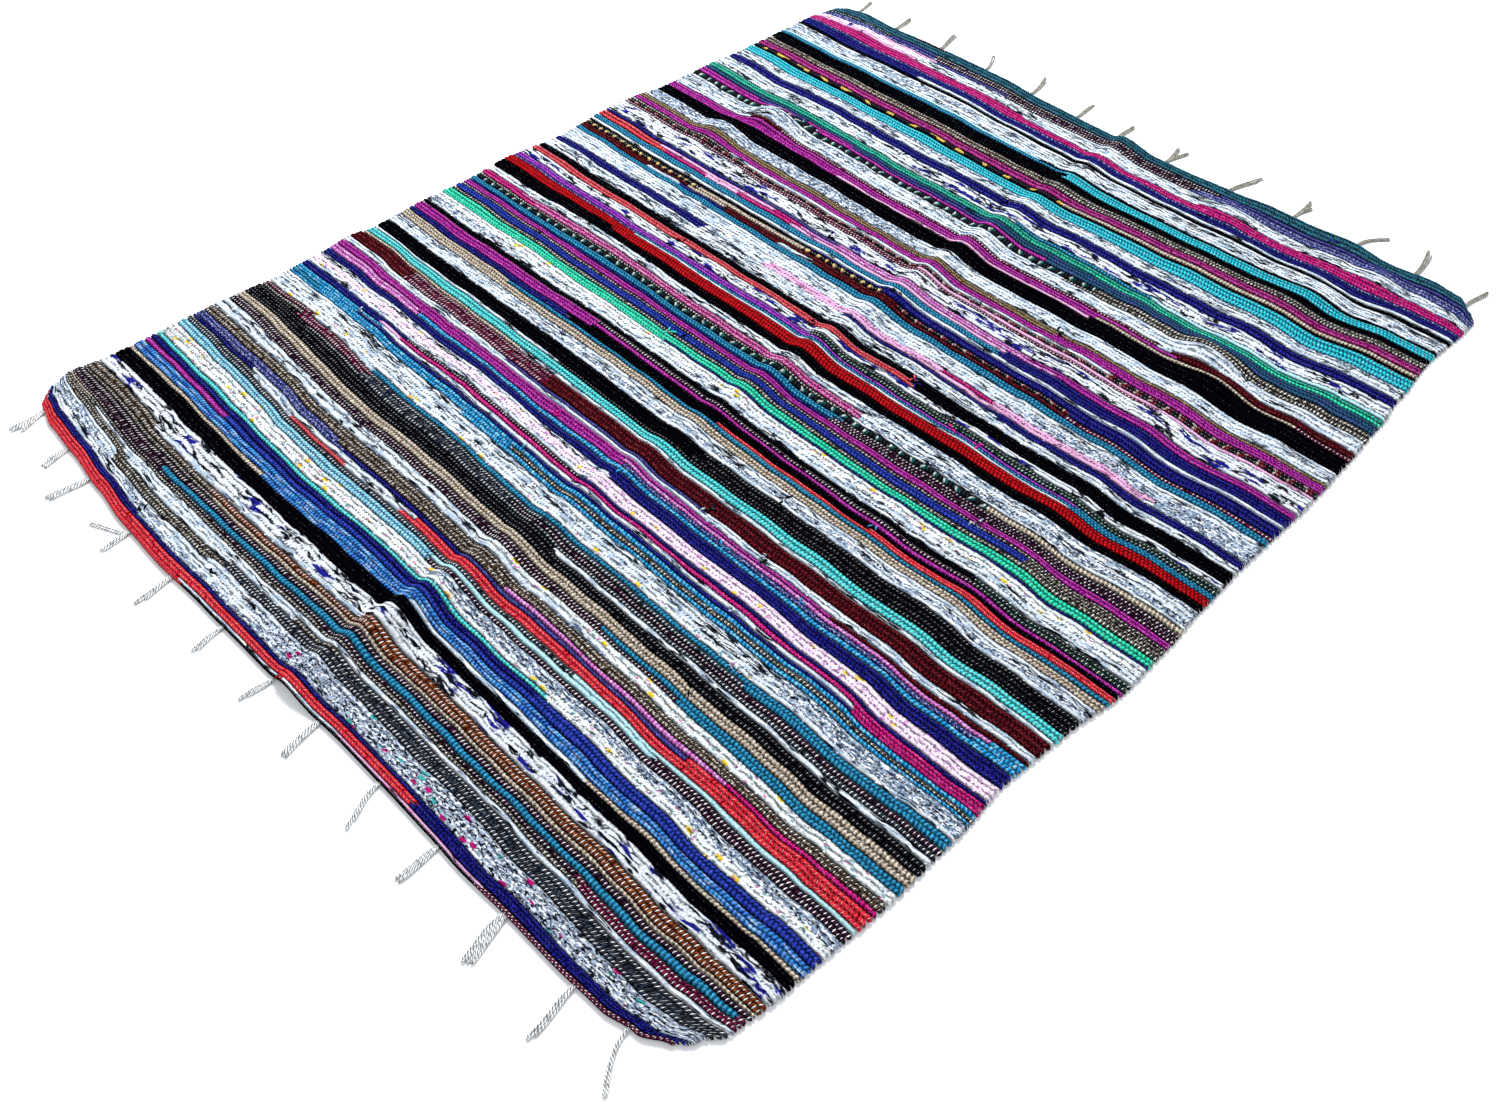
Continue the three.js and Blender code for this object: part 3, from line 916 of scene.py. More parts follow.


# %% [markdown]
# ## Finishes: how old cloth takes colour
# Every rag gets its own material, built up in layers as cloth is: a dye, a second tone where it
# has faded, a printed or tweedy mottle, flecks of a flower print, painted shade in the grooves
# where the rows meet and a fine fibre nap. A `Cloth` holds the shader and the colour as it stands
# so far, and each layer paints over that colour. Cloth hardly shines: its specular level is
# nearly nothing, and black rags have none, or they would turn grey.

# %% A cloth to paint on
ROUGH, SHINE = 0.95, 0.03
BLACK = 20  # a dye with no channel above this is black


def dye(r, g, b):
    """A colour as a dyer's card gives it, 0 to 255, made linear for the shader."""
    return [((c / 255 + 0.055) / 1.055) ** 2.4 if c > 10 else c / 255 / 12.92 for c in (r, g, b)] + [1]


class Cloth:
    """A cloth material that is painted one layer over another."""

    def __init__(self, name, colour):
        self.material = bpy.data.materials.new(name)
        self.material.use_nodes = True
        self.tree = self.material.node_tree
        self.shader = self.tree.nodes["Principled BSDF"]
        self.shader.inputs["Roughness"].default_value = ROUGH
        self.shader.inputs["Specular IOR Level"].default_value = SHINE if max(colour) > BLACK else 0
        self.run = self.node("ShaderNodeUVMap", uv_map="rag_run").outputs[0]
        rgb = self.node("ShaderNodeRGB")
        rgb.outputs[0].default_value = dye(*colour)
        self.colour = rgb.outputs[0]

    def node(self, kind, **settings):
        made = self.tree.nodes.new(kind)
        for key, value in settings.items():
            setattr(made, key, value)
        return made

    def link(self, source, socket):
        self.tree.links.new(source, socket)

    def done(self):
        self.link(self.colour, self.shader.inputs["Base Color"])
        return self.material


# %% [markdown]
# ## Masks
# A layer needs to know where it goes. The masks below are the answer: noise that is read along
# and across the run of the rag, so that a mottle follows the strip round its folds, a soft step
# that turns any value into a yes or a no, and the product of two masks, which is where both hold.

# %% Masks
def noise(cloth, along, across, detail=2.0, shift=0.0):
    """Noise whose lumps are that many millimetres long and wide."""
    scaled = cloth.node("ShaderNodeVectorMath", operation="MULTIPLY_ADD")
    cloth.link(cloth.run, scaled.inputs[0])
    scaled.inputs[1].default_value = (1000 / along, 1000 / across, 1)
    scaled.inputs[2].default_value = (shift, shift * 0.7, 0)
    lumps = cloth.node("ShaderNodeTexNoise", noise_dimensions="2D")
    lumps.inputs["Scale"].default_value = 1
    lumps.inputs["Detail"].default_value = detail
    cloth.link(scaled.outputs[0], lumps.inputs["Vector"])
    return lumps.outputs["Fac"]


def value_of(cloth, name):
    """A value that the points of the mesh carry, such as how near the crown they are."""
    return cloth.node("ShaderNodeAttribute", attribute_name=name).outputs["Fac"]


def between(cloth, value, low, high):
    """Turns a value into a soft 0 to 1 step between low and high."""
    step = cloth.node("ShaderNodeMapRange", interpolation_type="SMOOTHSTEP")
    cloth.link(value, step.inputs["Value"])
    step.inputs["From Min"].default_value = low
    step.inputs["From Max"].default_value = high
    return step.outputs["Result"]


def product(cloth, mask, other):
    """One mask times another, or times a number."""
    times = cloth.node("ShaderNodeMath", operation="MULTIPLY")
    cloth.link(mask, times.inputs[0])
    if isinstance(other, (int, float)):
        times.inputs[1].default_value = other
    else:
        cloth.link(other, times.inputs[1])
    return times.outputs[0]


def paint(cloth, where, colour):
    """Lays a colour over what is there, where the mask says."""
    mix = cloth.node("ShaderNodeMix", data_type="RGBA", blend_type="MIX")
    cloth.link(where, mix.inputs[0])
    cloth.link(cloth.colour, mix.inputs[6])
    mix.inputs[7].default_value = dye(*colour)
    cloth.colour = mix.outputs[2]


# %% [markdown]
# ## Faded and torn cloth
# These layers are for rags that are worn. A mottle is faded or dyed blotches, and creases are
# thin dark lines of painted shade where a torn edge is folded under. A crease is painted only
# where the noise is close to one half, like a line of equal height on a map. A blotch is painted
# where the noise is above a level, and `share_edge` finds the level that gives a mottle its share
# of the cloth.

# %% Mottles and creases
NOISE_SPREAD = 0.42  # nearly all of the noise lies in a span this wide around one half
CREASE_PATCH = (1.6, 2)  # length and width of a patch with creases, in lumps of the noise


def share_edge(share):
    """The level that noise passes over about that share of the cloth."""
    return 0.5 + (0.5 - share) * NOISE_SPREAD


def mottle(cloth, colour, share, along, across, soft=0.05, shift=0.0, detail=3.0):
    """Blotches of another colour over that share of the cloth."""
    edge = share_edge(share)
    blotches = noise(cloth, along, across, detail, shift)
    paint(cloth, between(cloth, blotches, edge - soft, edge + soft), colour)


def creases(cloth, colour, share, along, across, width=0.035, shift=0.0):
    """Thin wavering lines of painted shade, as torn and folded edges draw them, over that share of the rag.
    """
    level = cloth.node("ShaderNodeMath", operation="SUBTRACT")
    cloth.link(noise(cloth, along, across, 2.0, shift), level.inputs[0])
    level.inputs[1].default_value = 0.5
    off = cloth.node("ShaderNodeMath", operation="ABSOLUTE")
    cloth.link(level.outputs[0], off.inputs[0])
    edge = share_edge(share)
    patches = noise(cloth, along * CREASE_PATCH[0], across * CREASE_PATCH[1], 1.0, shift + 11)
    here = between(cloth, patches, edge - 0.02, edge + 0.02)
    line = between(cloth, off.outputs[0], width, width * 0.4)
    paint(cloth, product(cloth, line, here), colour)


# %% [markdown]
# ## Printed and checked cloth
# These are for rags that had a pattern. Flecks are the flowers of a print dress, cut so small
# that only spots are left of them, one to each cell of a Voronoi texture.

# %% Flecks and blocks
def flecks(cloth, colours, spacing, size):
    """Small printed spots, one to a cell, each in one of the colours."""
    for i, colour in enumerate(colours):
        scaled = cloth.node("ShaderNodeVectorMath", operation="MULTIPLY_ADD")
        cloth.link(cloth.run, scaled.inputs[0])
        scaled.inputs[1].default_value = (1000 / spacing, 1000 / (spacing * 0.5), 1)
        scaled.inputs[2].default_value = (3.7 * i, 1.9 * i, 0)
        cells = cloth.node("ShaderNodeTexVoronoi", voronoi_dimensions="2D")
        cells.inputs["Scale"].default_value = 1
        cloth.link(scaled.outputs[0], cells.inputs["Vector"])
        spot = between(cloth, cells.outputs["Distance"], size / spacing, size / spacing * 0.7)
        paint(cloth, spot, colour)


def blocks(cloth, period, steps):
    """Blocks of colour that follow one another along the rag, as in cut check or print."""
    split = cloth.node("ShaderNodeSeparateXYZ")
    cloth.link(cloth.run, split.inputs[0])
    wobble = product(cloth, noise(cloth, 45, 20, 1.0, 5.0), 0.9)
    beat = cloth.node("ShaderNodeMath", operation="MULTIPLY_ADD")
    cloth.link(split.outputs[0], beat.inputs[0])
    beat.inputs[1].default_value = 1000 / period
    cloth.link(wobble, beat.inputs[2])
    turn = cloth.node("ShaderNodeMath", operation="FRACT")
    cloth.link(beat.outputs[0], turn.inputs[0])
    ramp = cloth.node("ShaderNodeValToRGB")
    ramp.color_ramp.interpolation = "CONSTANT"
    stops = ramp.color_ramp.elements
    while len(stops) < len(steps):
        stops.new(0.5)
    for stop, (place, colour) in zip(stops, steps):
        stop.position = place
        stop.color = dye(*colour)
    cloth.link(turn.outputs[0], ramp.inputs[0])
    cloth.colour = ramp.outputs[0]


# %% [markdown]
# ## Grooves and nap, which every rag has
# Last of all come the things that the weaving does to any rag. The edges where two rows meet lie
# in shadow, and so do the dips under the warps, deeper than the light finds its way, so both get
# painted shade. Between the warps the rag swells up, and its surface is fibres: a bump that is
# read from the same masks does both, without a single face more, and the hollows of the bump get
# a little painted shade.

# %% Grooves and nap
# how strong the painted shade in the hollows of the nap is, and its colour
NAP_SHADE_AMOUNT, NAP_SHADE = 0.16, (8, 8, 12)  # how much the hollows of the nap darken, and towards what


def grooves(cloth, colour, depth, broken, beads):
    """Paints shade on the edges where two rows meet, broken into pieces, and in the dips under the warps.
    """
    down = between(cloth, value_of(cloth, "rib"), RIB_LIGHT, 0.0)
    part = between(cloth, noise(cloth, 30, 5, 3.0, 9.0), broken - 0.05, broken + 0.05)
    paint(cloth, product(cloth, product(cloth, down, part), depth), colour)
    dips = between(cloth, value_of(cloth, "bead"), 0.6, 0.0)
    paint(cloth, product(cloth, dips, beads), colour)


def nap(cloth, swell=1.2, fuzz=0.7):
    """Raises the rag between the warps and gives it fibres, as a bump in millimetres, and paints shade into
    the hollows of the bump.
    """
    fine, coarse = noise(cloth, 1.2, 0.8, 2.0, 1.0), noise(cloth, 4.5, 2.4, 2.0, 2.0)
    # painted shade in the hollows of the coarse fibre bump
    paint(cloth, product(cloth, between(cloth, coarse, 0.56, 0.32), NAP_SHADE_AMOUNT), NAP_SHADE)
    height = product(cloth, between(cloth, value_of(cloth, "bead"), 0.0, 1.0), swell)
    for part, rise in ((coarse, fuzz * 1.6), (fine, fuzz * 0.5)):
        total = cloth.node("ShaderNodeMath", operation="MULTIPLY_ADD")
        cloth.link(part, total.inputs[0])
        total.inputs[1].default_value = rise
        cloth.link(height, total.inputs[2])
        height = total.outputs[0]
    relief = cloth.node("ShaderNodeBump")
    relief.inputs["Strength"].default_value = 1.0
    relief.inputs["Distance"].default_value = MM
    cloth.link(height, relief.inputs["Height"])
    cloth.link(relief.outputs[0], cloth.shader.inputs["Normal"])


# %% [markdown]
# ## The colours of pale rags
# Worn T-shirts, denim, sheets and print dresses end up in a rug like this. Each entry is the dye of
# one rag and the layers painted over it, in that order: for a mottle or creases the colour, the
# share of the cloth, the length and width of a lump in millimetres, and where it helps how soft
# the edge is and a shift that keeps two layers apart. Whites stay cool, and are full of creases
# drawn in painted shade.

# %% Pale rags
INK = (14, 16, 26)
PALE_RAGS = {
    "white": ((206, 216, 226), [(mottle, (164, 184, 206), 0.38, 38, 6),
                                (mottle, (246, 250, 252), 0.25, 22, 5, 0.05, 8.0),
                                (creases, (64, 78, 100), 0.2, 44, 6, 0.06),
                                (creases, INK, 0.22, 52, 6, 0.1, 5.0)]),
    "lined": ((210, 219, 227), [(mottle, (160, 180, 200), 0.36, 30, 6),
                                (mottle, (246, 250, 252), 0.25, 22, 5, 0.05, 8.0),
                                (creases, INK, 0.42, 46, 6, 0.11),
                                (creases, (50, 62, 84), 0.22, 30, 5, 0.07, 5.0)]),
    "dash": ((218, 223, 230), [(mottle, (26, 26, 130), 0.22, 60, 15, 0.025, 6.0, 1.0),
                               (mottle, (12, 14, 22), 0.2, 40, 10, 0.025, 0.0, 1.0),
                               (mottle, (190, 202, 214), 0.2, 16, 5, 0.05, 8.0),
                               (creases, INK, 0.3, 40, 12, 0.07, 3.0)]),
    "floral": ((236, 242, 242), [(mottle, (205, 215, 222), 0.3, 12, 6),
                                 (creases, (70, 84, 100), 0.3, 16, 4, 0.04, 2.0),
                                 (mottle, (120, 110, 120), 0.1, 7, 2.5, 0.04, 3.0),
                                 (flecks, [(228, 196, 60)], 52, 7),
                                 (flecks, [(204, 130, 176), (110, 160, 170)], 31, 3.6)]),
    "pink_floral": ((240, 222, 240), [(mottle, (206, 140, 200), 0.2, 9, 4),
                                      (mottle, (120, 70, 140), 0.1, 5, 2.5, 0.04, 3.0),
                                      (flecks, [(226, 196, 84)], 64, 6)]),
    "denim": ((142, 162, 184), [(mottle, (240, 245, 250), 0.45, 10, 4),
                                (mottle, (84, 108, 150), 0.26, 6, 3, 0.05, 4.0),
                                (creases, (20, 28, 48), 0.5, 18, 4, 0.07, 2.0),
                                (mottle, INK, 0.1, 8, 3, 0.04, 8.0)]),
    "print": ((156, 172, 194), [(mottle, (236, 242, 250), 0.42, 8, 4),
                                (creases, (34, 44, 64), 0.45, 12, 4, 0.07, 2.0),
                                (mottle, INK, 0.28, 9, 4, 0.04, 4.0),
                                (flecks, [(176, 20, 110), (60, 160, 160)], 70, 7)]),
    "pale": ((184, 222, 228), [(mottle, (150, 205, 222), 0.35, 6, 3)]),
    "blush": ((220, 168, 206), [(mottle, (206, 96, 170), 0.1, 24, 4),
                                (creases, (64, 26, 56), 0.3, 30, 4, 0.06, 2.0)]),
}
assert set(PALE_RAGS) == PALE
print("pale rags:", len(PALE_RAGS))

# %% [markdown]
# ## The colours of strong and dark rags
# Blues, pinks and turquoise stay strong, because such rags are mostly synthetic jersey that hardly
# fades. Most have a lighter and a darker mottle, since no two beads of a worn rag are the same.

# %% Strong and dark rags
STRONG_RAGS = {
    "orchid": ((198, 94, 182), [(mottle, (244, 206, 236), 0.3, 9, 3.5),
                                (mottle, (176, 32, 140), 0.26, 12, 4, 0.05, 5.0)]),
    "black": ((3, 3, 6), [(mottle, (12, 13, 18), 0.2, 8, 3)]),
    "jet": ((4, 4, 7), [(mottle, (16, 18, 24), 0.2, 8, 3)]),
    "scarlet": ((156, 2, 10), [(mottle, (200, 22, 28), 0.25, 12, 4),
                               (mottle, (110, 0, 8), 0.25, 9, 4, 0.05, 4.0)]),
    "coral": ((192, 52, 66), [(mottle, (240, 140, 140), 0.22, 6, 3),
                              (mottle, (160, 20, 30), 0.25, 7, 3, 0.05, 4.0)]),
    "plum": ((138, 12, 98), [(mottle, (196, 90, 160), 0.26, 6, 3),
                             (mottle, (60, 4, 44), 0.28, 8, 3, 0.05, 4.0)]),
    "powder": ((112, 182, 220), [(mottle, (186, 226, 242), 0.34, 8, 3),
                                 (mottle, (44, 120, 180), 0.22, 10, 3, 0.05, 4.0)]),
    "dusty": ((180, 40, 126), [(mottle, (236, 170, 206), 0.3, 6, 3),
                               (mottle, (96, 24, 62), 0.25, 7, 3, 0.05, 4.0)]),
    "slate": ((26, 32, 44), [(mottle, (56, 70, 90), 0.25, 10, 4),
                             (mottle, (12, 12, 18), 0.3, 8, 4, 0.05, 3.0)]),
    "steel": ((22, 66, 96), [(mottle, (56, 62, 140), 0.3, 40, 6),
                             (mottle, (16, 34, 52), 0.3, 8, 3)]),
    "navy": ((10, 10, 92), [(mottle, (34, 34, 160), 0.3, 9, 3),
                            (mottle, (8, 8, 60), 0.25, 7, 3, 0.05, 3.0)]),
    "royal": ((22, 42, 134), [(mottle, (60, 74, 200), 0.28, 8, 3)]),
    "cobalt": ((36, 98, 178), [(mottle, (20, 44, 150), 0.36, 44, 3),
                               (mottle, (60, 160, 214), 0.3, 30, 2.4, 0.05, 7.0),
                               (mottle, (200, 222, 242), 0.22, 26, 1.8, 0.05, 3.0)]),
    "periwinkle": ((30, 46, 112), [(mottle, (196, 196, 242), 0.34, 4, 3),
                                   (mottle, (16, 18, 70), 0.2, 5, 3, 0.05, 4.0)]),
    "violet": ((44, 38, 108), [(mottle, (100, 92, 186), 0.26, 7, 3),
                               (mottle, (20, 18, 70), 0.3, 8, 3, 0.05, 4.0)]),
    "sky": ((12, 124, 182), [(mottle, (150, 210, 238), 0.34, 9, 3),
                             (mottle, (30, 110, 176), 0.2, 12, 3, 0.05, 4.0)]),
    "teal": ((28, 112, 152), [(mottle, (70, 170, 206), 0.28, 5, 2.5),
                              (mottle, (8, 60, 96), 0.25, 7, 3, 0.05, 4.0)]),
    "aqua": ((48, 200, 206), [(mottle, (170, 242, 240), 0.28, 4, 3),
                              (mottle, (14, 110, 124), 0.18, 5, 2.5, 0.05, 4.0)]),
    "turquoise": ((18, 172, 202), [(mottle, (120, 220, 232), 0.26, 4, 3),
                                   (mottle, (6, 100, 128), 0.2, 5, 2.5, 0.05, 4.0)]),
    "mint": ((24, 204, 154), [(mottle, (130, 236, 206), 0.24, 5, 3),
                              (mottle, (10, 140, 110), 0.22, 7, 3, 0.05, 4.0)]),
    "jade": ((20, 146, 122), [(mottle, (60, 186, 156), 0.3, 7, 3),
                              (mottle, (8, 70, 74), 0.28, 8, 4, 0.05, 4.0)]),
    "forest": ((8, 26, 24), [(mottle, (50, 92, 78), 0.24, 6, 3)]),
    "petrol": ((22, 78, 92), [(mottle, (24, 124, 134), 0.3, 12, 4),
                              (mottle, (8, 12, 20), 0.42, 16, 4, 0.04, 4.0)]),
    "magenta": ((148, 20, 132), [(mottle, (222, 90, 205), 0.22, 5, 3),
                                 (mottle, (90, 8, 84), 0.28, 8, 3, 0.05, 4.0)]),
    "purple": ((130, 36, 172), [(mottle, (190, 110, 214), 0.24, 6, 3),
                                (mottle, (60, 14, 96), 0.28, 8, 3, 0.05, 4.0)]),
    "hot_pink": ((174, 8, 102), [(mottle, (236, 100, 160), 0.2, 9, 3),
                                 (mottle, (140, 6, 74), 0.28, 14, 4, 0.05, 4.0)]),
    "red": ((212, 26, 44), [(mottle, (246, 80, 84), 0.24, 5, 3),
                            (mottle, (150, 6, 20), 0.25, 7, 3, 0.05, 4.0)]),
    "crimson": ((60, 1, 8), [(mottle, (126, 14, 30), 0.22, 8, 3),
                             (mottle, (50, 0, 8), 0.3, 10, 4, 0.05, 4.0)]),
    "maroon": ((74, 6, 36), [(mottle, (140, 30, 80), 0.3, 7, 3),
                             (mottle, (36, 4, 20), 0.28, 6, 3, 0.05, 4.0)]),
    "aubergine": ((28, 5, 24), [(mottle, (84, 20, 64), 0.22, 6, 3),
                                (mottle, (14, 6, 18), 0.3, 6, 3, 0.05, 4.0)]),
    "brown": ((82, 30, 8), [(mottle, (176, 96, 44), 0.3, 7, 4),
                            (mottle, (84, 32, 8), 0.25, 8, 4, 0.05, 4.0)]),
    "taupe": ((58, 43, 32), [(mottle, (206, 190, 166), 0.26, 5, 3),
                             (mottle, (20, 16, 12), 0.36, 6, 3, 0.05, 4.0)]),
    "beige": ((168, 150, 130), [(mottle, (236, 230, 216), 0.34, 5, 2.5),
                                (mottle, (58, 48, 38), 0.3, 5, 2.2, 0.05, 4.0)]),
    "khaki": ((106, 82, 46), [(mottle, (60, 48, 26), 0.3, 5, 3),
                              (mottle, (190, 176, 140), 0.2, 5, 2, 0.05, 4.0)]),
    "tweed": ((32, 27, 26), [(mottle, (190, 180, 160), 0.28, 4, 2.4),
                             (mottle, (14, 14, 16), 0.3, 6, 3, 0.05, 4.0)]),
}
print("strong and dark rags:", len(STRONG_RAGS))

# %% [markdown]
# ## The colours of checked rags
# A checked shirt cut into strips shows its checks one after another. The first number is how many
# millimetres one round of colours takes, and each colour has the place where it begins.

# %% Checked rags
CHECKED_RAGS = {
    "check": (INK, [(blocks, 22, [(0, (6, 10, 14)), (0.4, (206, 222, 216)), (0.56, (12, 92, 88)),
                                  (0.76, (6, 24, 28))])]),
    "red_dot": (INK, [(blocks, 27, [(0, (16, 6, 8)), (0.3, (206, 180, 172)), (0.42, (112, 8, 24)),
                                    (0.72, (10, 6, 8))])]),
    "gold_check": (INK, [(blocks, 20, [(0, (16, 10, 8)), (0.42, (236, 208, 130)),
                                       (0.68, (112, 66, 40)), (0.8, (12, 8, 8))])]),
    "yellow_block": (INK, [(blocks, 60, [(0, (12, 16, 18)), (0.7, (246, 214, 96)),
                                         (0.96, (12, 16, 18))])]),
}
PALETTE = {**PALE_RAGS, **STRONG_RAGS, **CHECKED_RAGS}
print("colours in the palette:", len(PALETTE))

# %% [markdown]
# ## Painting the rags
# Pale rags are soft and close up, so their nap is coarse, the warps hardly mark them and only
# some of their grooves get painted shade. In all others the back of every bead gets a painted
# highlight a little lighter than the dye, and the dips between them get painted shade that is
# nearly black, which is what draws the weave.

# %% Cloth materials
# the colours of the painted shade in the grooves and under the warps, for pale rags and for all others
PALE_GROOVE_SHADE, DARK_GROOVE_SHADE = (26, 32, 48), (3, 3, 7)


def bead_highlight(rag, colour):
    """The painted highlight on a bead's back, a lighter tone of the dye; black rags stay black."""
    return (7, 7, 10) if rag == "black" else tuple(min(255, int(c * 1.3 + 34)) for c in colour)


materials = {}
for rag, (colour, layers) in PALETTE.items():
    cloth = Cloth("cloth_" + rag, colour)
    for layer, *settings in layers:
        layer(cloth, *settings)
    if rag in PALE:
        nap(cloth, 0.5, 1.2)
        grooves(cloth, PALE_GROOVE_SHADE, 0.85, 0.52 if rag == "lined" else 0.56, 0.1)
    else:
        # painted highlight on the back of every bead, at half strength
        lit_backs = between(cloth, value_of(cloth, "bead"), 0.5, 1.0)
        paint(cloth, product(cloth, lit_backs, 0.5), bead_highlight(rag, colour))
        nap(cloth)
        grooves(cloth, DARK_GROOVE_SHADE, 0.8, 0.4, 0.75)
    materials[rag] = cloth.done()
assert set(materials) == set(RAGS)
print("cloth materials:", len(materials))

# %% [markdown]
# ## The bundles become meshes
# Now each bundle turns into one object, with a material slot for every rag in it. For the map
# that a bake would use, its strips are laid end to end in one long band, station by station, and
# the band is cut into lanes that are stacked in a square. Both slopes of a strip get their own
# part of the lane, so nothing overlaps. The undersides and ends stay flat in shading, or they
# would round off the sharp edges that lie in the grooves.

# %% Rag bundles
STATION_OVER_GIRTH = 0.21  # a station's length over the way round a strip, to fill a square map


def lanes_of(bundle):
    """The place of every corner in the map for baking, and which of the faces are slopes."""
    bake = np.concatenate(bundle.bake)
    lanes = max(1, round(math.sqrt(STATION_OVER_GIRTH * bundle.laid)))
    stations = math.ceil(bundle.laid / lanes)
    x = (bake[:, 0] % stations)[:, None] + np.array([0, 1, 1, 0])
    y = (bake[:, 0] // stations)[:, None] + bake[:, [1, 1, 2, 2]]
    return np.stack([x / stations, y / lanes], 2), bake[:, 1] % 1 != LANE[2][0]


pieces = []
for name, bundle in bundles.items():
    points, quads = np.concatenate(bundle.points), np.concatenate(bundle.quads)
    lanes, slopes = lanes_of(bundle)
    made, keep = make_mesh(name, points, quads, smooth=slopes)
    add_map(made.data, "rag_run", np.concatenate(bundle.runs)[keep])
    add_map(made.data, "OFBake", lanes[keep])
    add_values(made.data, "rib", np.concatenate(bundle.rib))
    add_values(made.data, "bead", np.concatenate(bundle.bead))
    for rag in finishes[name]:
        made.data.materials.append(materials[rag])
    slots = np.concatenate(bundle.finish).astype(np.int32)
    made.data.polygons.foreach_set("material_index", slots)
    made.data.update()
    pieces.append(made)
    print(name, len(made.data.polygons), "faces in", len(bundle.points), "strips")

# %% [markdown]
# ## The stitches as one mesh
# The warp is the same white cotton all over, but lint and a painted reflection of the rag's
# colour tint it by the rag it crosses, so the dashes take one of seven tones. All the spindles
# are one mesh, and each has three small cells of its own in the map that a bake would use.

# %% The stitches become a mesh
TINTS = {"white": (252, 252, 250), "silver": (186, 192, 198), "grey": (104, 110, 118),
         "blue": (128, 140, 214), "pink": (240, 150, 224), "rose": (250, 140, 140),
         "pale": (206, 246, 246)}
HALF_CELLS = np.array([[(0.1, 0.1), (0.9, 0.1), (0.1, 0.8)], [(0.9, 0.9), (0.2, 0.9), (0.9, 0.2)]])


def shaded(colour):
    """The same thread where it is a little soiled."""
    return tuple(int(0.8 * c) for c in colour)


thread_cloth = {}
for tint, colour in TINTS.items():
    cotton = Cloth("warp_thread_" + tint, colour)
    mottle(cotton, shaded(colour), 0.3, 5, 3)
    thread_cloth[tint] = cotton.done()

points = lay(*thread.reshape(-1, 3).T)
faces = (SPINDLE[None] + 5 * np.arange(len(thread))[:, None, None]).reshape(-1, 3)
stitches, _ = make_mesh("warp_stitches", points, faces)
along_run = (thread[..., :2] * MM).reshape(-1, 2)
add_map(stitches.data, "rag_run", along_run[faces.ravel()])
side = math.ceil(math.sqrt(len(thread) * 3))  # three cells to a spindle, two triangles in each
cell = np.arange(len(thread) * 3)
corner = np.stack([cell % side, cell // side], 1)[:, None, None, :]
add_map(stitches.data, "OFBake", ((corner + HALF_CELLS[None]) / side).reshape(-1, 2))
for tint in THREADS:
    stitches.data.materials.append(thread_cloth[tint])
slots = np.repeat(tints, len(SPINDLE)).astype(np.int32)
stitches.data.polygons.foreach_set("material_index", slots)
pieces.append(stitches)
print("stitches in one mesh:", len(stitches.data.polygons), "faces in", len(TINTS), "tones")

# %% [markdown]
# ## The woven ground
# Under the rags the warps themselves make a thin cloth. Only its underside and a thread or two in
# the grooves would ever show, so it is one closed sheet of even squares, less than a millimetre
# thick, that lies just off the floor and follows the folds.

# %% The woven ground
SQUARES_ACROSS, SQUARES_ALONG = 90, 108
INSET = 4  # how far the ground keeps inside the rags' edges, in millimetres
UNDER, OVER = 0.3, 1.0  # heights of its two faces

grid_u, grid_v = np.meshgrid(np.linspace(INSET, WIDTH - INSET, SQUARES_ACROSS + 1),
                             np.linspace(INSET, LENGTH - INSET, SQUARES_ALONG + 1))
columns, grid_rows, count = SQUARES_ACROSS + 1, SQUARES_ALONG + 1, grid_u.size
points = np.concatenate([lay(grid_u.ravel(), grid_v.ravel(), height) for height in (UNDER, OVER)])
a = (np.arange(SQUARES_ALONG)[:, None] * columns + np.arange(SQUARES_ACROSS)).ravel()
upper = np.stack([a, a + 1, a + columns + 1, a + columns], 1) + count
lower = np.stack([a, a + columns, a + columns + 1, a + 1], 1)
rim = np.concatenate([np.arange(columns - 1), np.arange(grid_rows - 1) * columns + columns - 1,
                      (grid_rows - 1) * columns + np.arange(columns - 1, 0, -1),
                      np.arange(grid_rows - 1, 0, -1) * columns])
after = np.roll(rim, -1)
faces = np.concatenate([upper, lower, np.stack([rim, after, after + count, rim + count], 1)])
ground, keep = make_mesh("woven_ground", points, faces)
flat = np.concatenate([np.stack([grid_u.ravel(), grid_v.ravel()], 1)] * 2) * MM
add_map(ground.data, "rag_run", flat[faces][keep])
ground.data.materials.append(thread_cloth["white"])
print("woven ground:", len(faces), "faces")

# %% [markdown]
# ## Tassels
# Where a bundle of warps is tied off it leaves a small tassel: the warp ends are looped back and
# twisted in pairs into cords. The tables have the place across, how far the tip leans and
# reaches, the width of the bundle and its sideways bow, as in the solids these tassels take the
# place of. Four tassels part into two strands, and `FORKS` has the second strand of each.

# %% Where the tassels are
NEAR_TASSELS = [
    (60, 3, 58, 14, 6), (160, 10, 44, 13, 0), (241, -5, 64, 13, -4), (378, 5, 50, 9, 1),
    (495, 9, 64, 10, 3), (621, 9, 52, 9, 0), (742, -1, 52, 9, -3), (841, 13, 62, 11, -2),
    (969, 29, 68, 8, -2), (1089, 3, 63, 11, 2), (1214, 17, 70, 17, 3), (1334, 13, 78, 9, 6),
    (1412, 44, 72, 6, -5)]
FAR_TASSELS = [
    (87, -10, 52, 7, 2), (187, -6, 54, 10, 2), (303, -15, 66, 10, -6), (417, -25, 56, 7, 1),
    (535, -17, 68, 9, 2), (646, -2, 62, 8, -2), (741, 0, 58, 9, -1), (850, -9, 60, 8, 0),
    (981, 21, 74, 10, 4), (1103, -3, 62, 8, 3), (1222, 34, 56, 8, -6), (1331, -16, 78, 10, 3),
    (1429, 10, 62, 8, 0)]
